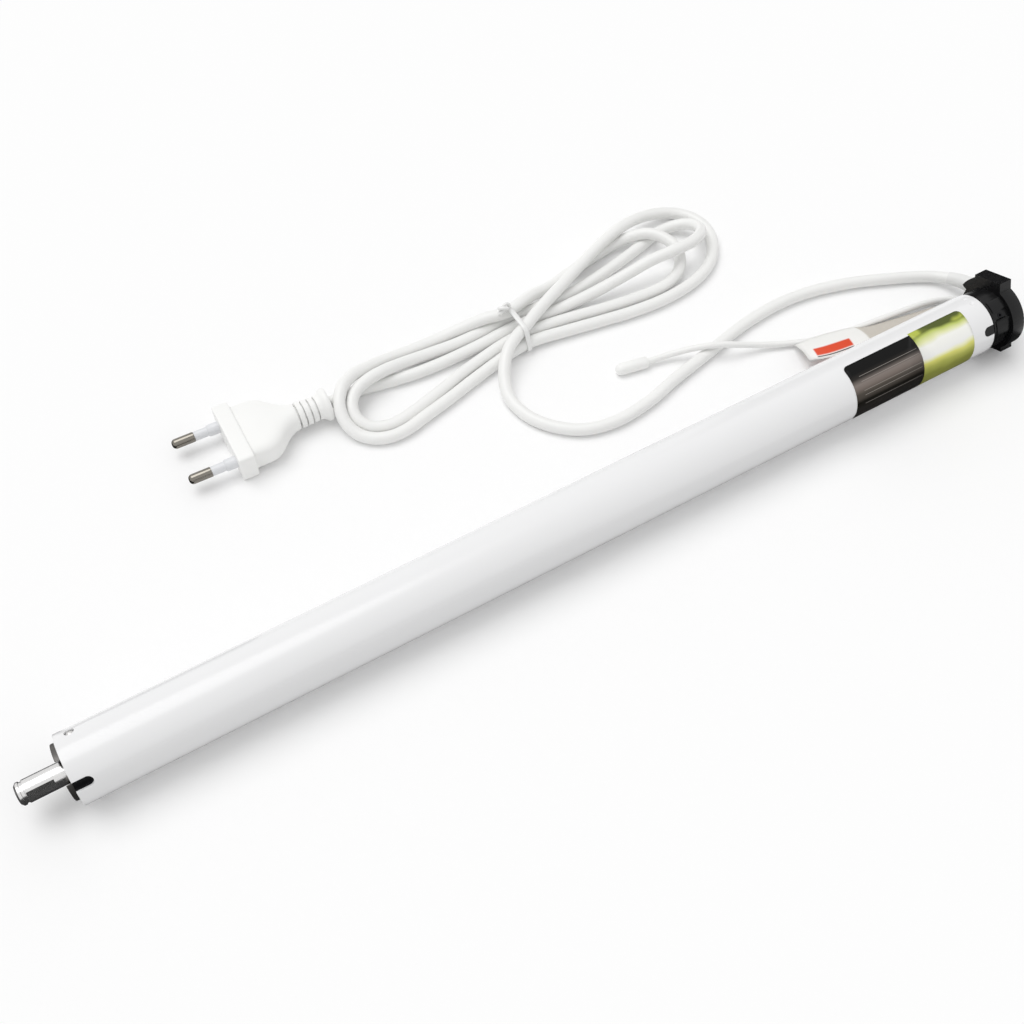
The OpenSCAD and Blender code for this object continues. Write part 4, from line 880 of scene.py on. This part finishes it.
def make_shaft():
    """The shaft with its clip groove and flat, and the carrier behind it with three pins."""
    flat_turn, flat_at, flat_from, flat_to, hair = math.radians(150), 3.6, -14.0, -5.0, 0.001
    tip = [(-17, 0), (-17, 2.9), (-16.95, 3.15), (-16.3, 3.9), (-16.1, 4), (-15.4, 4), (-15.3, 3.9),
           (-15.3, 3.6), (-14.3, 3.6), (-14.3, 3.9), (-14.2, 4), (-14.02, 4)]
    body = [(x, 4) for x in (-14.0, -11, -8, -5.0, -4.98)]
    rest = [(-0.1, 4), (0, 4.1), (0, 4.5), (8.6, 4.5), (8.6, 8.5), (8.7, 8.6), (12.1, 8.6), (12.2, 8.5),
            (12.2, 0)]
    pin, pin_circle = [(12.2, 0), (12.2, 1), (20.0, 1), (20.2, 0.8), (20.2, 0)], 6
    bm = turned(tip + body + rest, 96)
    out = Vector((0, math.cos(flat_turn), math.sin(flat_turn)))
    for v in bm.verts:
        over = v.co.dot(out) / MM - flat_at
        if over > 0 and flat_from - hair <= v.co.x / MM <= flat_to + hair:
            v.co -= out * over * MM
    for turn in map(math.radians, (90, 210, 330)):
        shift = Matrix.Translation((0, pin_circle * math.cos(turn) * MM, pin_circle * math.sin(turn) * MM))
        join(bm, place(turned(pin, 32), shift))
    bmesh.ops.recalc_face_normals(bm, faces=bm.faces)
    piece = finish_piece("drive_shaft", place(bm, MOUTH), "polished_steel", "output", 15.0)
    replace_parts(piece, "output_shaft")


make_shaft()

# Front plate, its bush and the tube's screws


def make_plate():
    """The ring in the tube's mouth, two lugs that stand out on either side of the shaft, and its bush."""
    lug_r, lug_chord, lug_out, lug_in = 10, 4.05, -2, 0.3
    bm = turned([(0, 6.02), (0, 11.3), (0.2, 11.48), (8, 11.48), (8, 6.02), (0, 6.02)], 96)
    lugs = bmesh.new()
    for side in (28, 208):
        lug = bmesh.new()
        spread = math.degrees(math.acos(lug_chord / lug_r))
        rim = arc(0, 0, lug_r, side - spread, side + spread, 24)
        face = lug.faces.new([lug.verts.new((lug_out * MM, y * MM, z * MM)) for y, z in rim])
        deep = bmesh.ops.extrude_face_region(lug, geom=[face])["geom"]
        for v in deep:
            if isinstance(v, bmesh.types.BMVert):
                v.co.x = lug_in * MM
        bmesh.ops.recalc_face_normals(lug, faces=lug.faces)
        join(lugs, lug)
    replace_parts(finish_piece("mouth_plate", place(bm, MOUTH), "dark_steel", crease=30.0), "front_plate")
    piece = finish_piece("mouth_lugs", place(lugs, MOUTH), "dark_zinc", crease=30.0)
    soften(piece, 0.2, 40)
    bush = turned([(0, 4.55), (0, 5.8), (0.2, 6), (8, 6), (8, 4.55), (0, 4.55)], 64)
    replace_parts(finish_piece("shaft_bearing", place(bush, MOUTH), "bronze"), "shaft_bush")


def make_screws():
    """Two small screws with low domed heads, sunk in the tube's wall."""
    bm = bmesh.new()
    head_r, shank_r, top, rise = 1.2, 0.95, 12.6, 0.5
    dome = [(top - rise * (k / 4) ** 2, head_r * k / 4) for k in range(5)]
    profile = [(7.5, 0), (7.5, shank_r), (11.5, shank_r), (11.5, head_r), *dome[::-1]]
    for turn in SCREW_TURNS:
        radial = Matrix.Rotation(math.radians(turn), 4, "X") @ Matrix.Rotation(math.radians(90), 4, "Z")
        join(bm, place(turned(profile, 32), Matrix.Translation(at(SCREW_X - X_MID, 0, AXIS_Z)) @ radial))
    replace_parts(finish_piece("tube_screw_pair", bm, "steel", crease=35.0), "tube_screws")


make_plate()
make_screws()

# Soft edges on the rigid solids that show

SOFT_EDGES = {"crown": 0.5, "end_cap": 0.3, "crown_screw": 0.1, "end_cap_screws": 0.1, "head_plug": 0.2}

for name, width in SOFT_EDGES.items():
    node = frame["nodes"][name]
    weld = node.modifiers.new("weld", "WELD")
    weld.merge_threshold = 1e-6
    soften(node, width, 40, 3).harden_normals = True

# Floor, light and background

FLOOR_HALF, FLOOR_GLOW, SKY_FILL = 6.0, 0.06, 0.66
KEY_POWER, KEY_SPREAD, KEY_FROM = 1.2, math.radians(45), Vector((-0.2, 0.35, 1.0))
# The black card's leaves in metres: first and last x, then y and z of the near and the far edge.
# In front of the tube, its upright back, by the shaft, by the pins, behind the crown
CARD_LEAVES = [
    (-0.6, 0.215, (0.004, 0.0004), (-0.5, 0.0004)), (-0.6, 0.215, (-0.5, 0.0004), (-0.6, 0.22)),
    (-0.6, -0.193, (0.05, 0.0004), (0.004, 0.0004)), (-0.2, -0.118, (0.16, 0.0004), (0.05, 0.0004)),
    (0.27, 0.7, (0.4, 0.0004), (0.4, 0.35)),
]


def seen_ray(tree):
    """1 where the background is seen: straight, in a reflection or through glass."""
    path = tree.nodes.new("ShaderNodeLightPath")
    seen = math_node(tree, "MAXIMUM", path.outputs["Is Camera Ray"], path.outputs["Is Glossy Ray"])
    return math_node(tree, "MAXIMUM", seen, path.outputs["Is Transmission Ray"])


def make_floor():
    """A pale matte floor with a little glow of its own where it is seen."""
    bm = bmesh.new()
    bmesh.ops.create_grid(bm, x_segments=1, y_segments=1, size=FLOOR_HALF)
    floor = new_object("floor", bm)
    material = bpy.data.materials.new("pale_floor")
    material.use_nodes = True
    tree = material.node_tree
    tree.nodes.clear()
    share = math_node(tree, "MULTIPLY", seen_ray(tree), FLOOR_GLOW)
    matte = add(tree, "ShaderNodeBsdfDiffuse", None, Color=(0.97, 0.97, 0.97, 1))
    glow = add(tree, "ShaderNodeEmission", None, Color=(1, 1, 1, 1), Strength=1.0)
    both = add(tree, "ShaderNodeMixShader", None, _0=share, _1=matte.outputs[0], _2=glow.outputs[0])
    out = tree.nodes.new("ShaderNodeOutputMaterial")
    tree.links.new(both.outputs[0], out.inputs["Surface"])
    floor.data.materials.append(material)


def make_dark_card():
    """A black card in several leaves that only reflections show."""
    bm = bmesh.new()
    for x0, x1, near, far in CARD_LEAVES:
        bm.faces.new([bm.verts.new(p) for p in ((x0, *near), (x1, *near), (x1, *far), (x0, *far))])
    card = new_object("dark_card", bm)
    material = bpy.data.materials.new("black_card")
    material.use_nodes = True
    shader = material.node_tree.nodes["Principled BSDF"]
    shader.inputs["Base Color"].default_value = (0.06, 0.06, 0.06, 1)
    shader.inputs["Specular IOR Level"].default_value = 0.0
    card.data.materials.append(material)
    card.visible_camera = False
    card.visible_diffuse = False
    card.visible_shadow = False
    card.visible_transmission = False


def make_key():
    """A wide soft lamp high behind the part."""
    data = bpy.data.lights.new("key", "SUN")
    data.energy = KEY_POWER
    data.angle = KEY_SPREAD
    lamp = bpy.data.objects.new("key", data)
    bpy.context.collection.objects.link(lamp)
    lamp.matrix_world = KEY_FROM.to_track_quat("Z", "Y").to_matrix().to_4x4()


def make_world():
    """A white sky that is brighter where it is seen than as a source of light."""
    world = bpy.data.worlds.new("studio")
    world.use_nodes = True
    tree = world.node_tree
    tree.nodes.clear()
    strength = add(tree, "ShaderNodeMix", {"data_type": "FLOAT"}, _0=seen_ray(tree), _2=SKY_FILL, _3=1.0)
    sky = add(tree, "ShaderNodeBackground", None, Color=(1, 1, 1, 1), Strength=strength.outputs[0])
    out = tree.nodes.new("ShaderNodeOutputWorld")
    tree.links.new(sky.outputs[0], out.inputs["Surface"])
    bpy.context.scene.world = world


make_floor()
make_world()
make_dark_card()
make_key()
bpy.context.scene.view_settings.view_transform = "Standard"
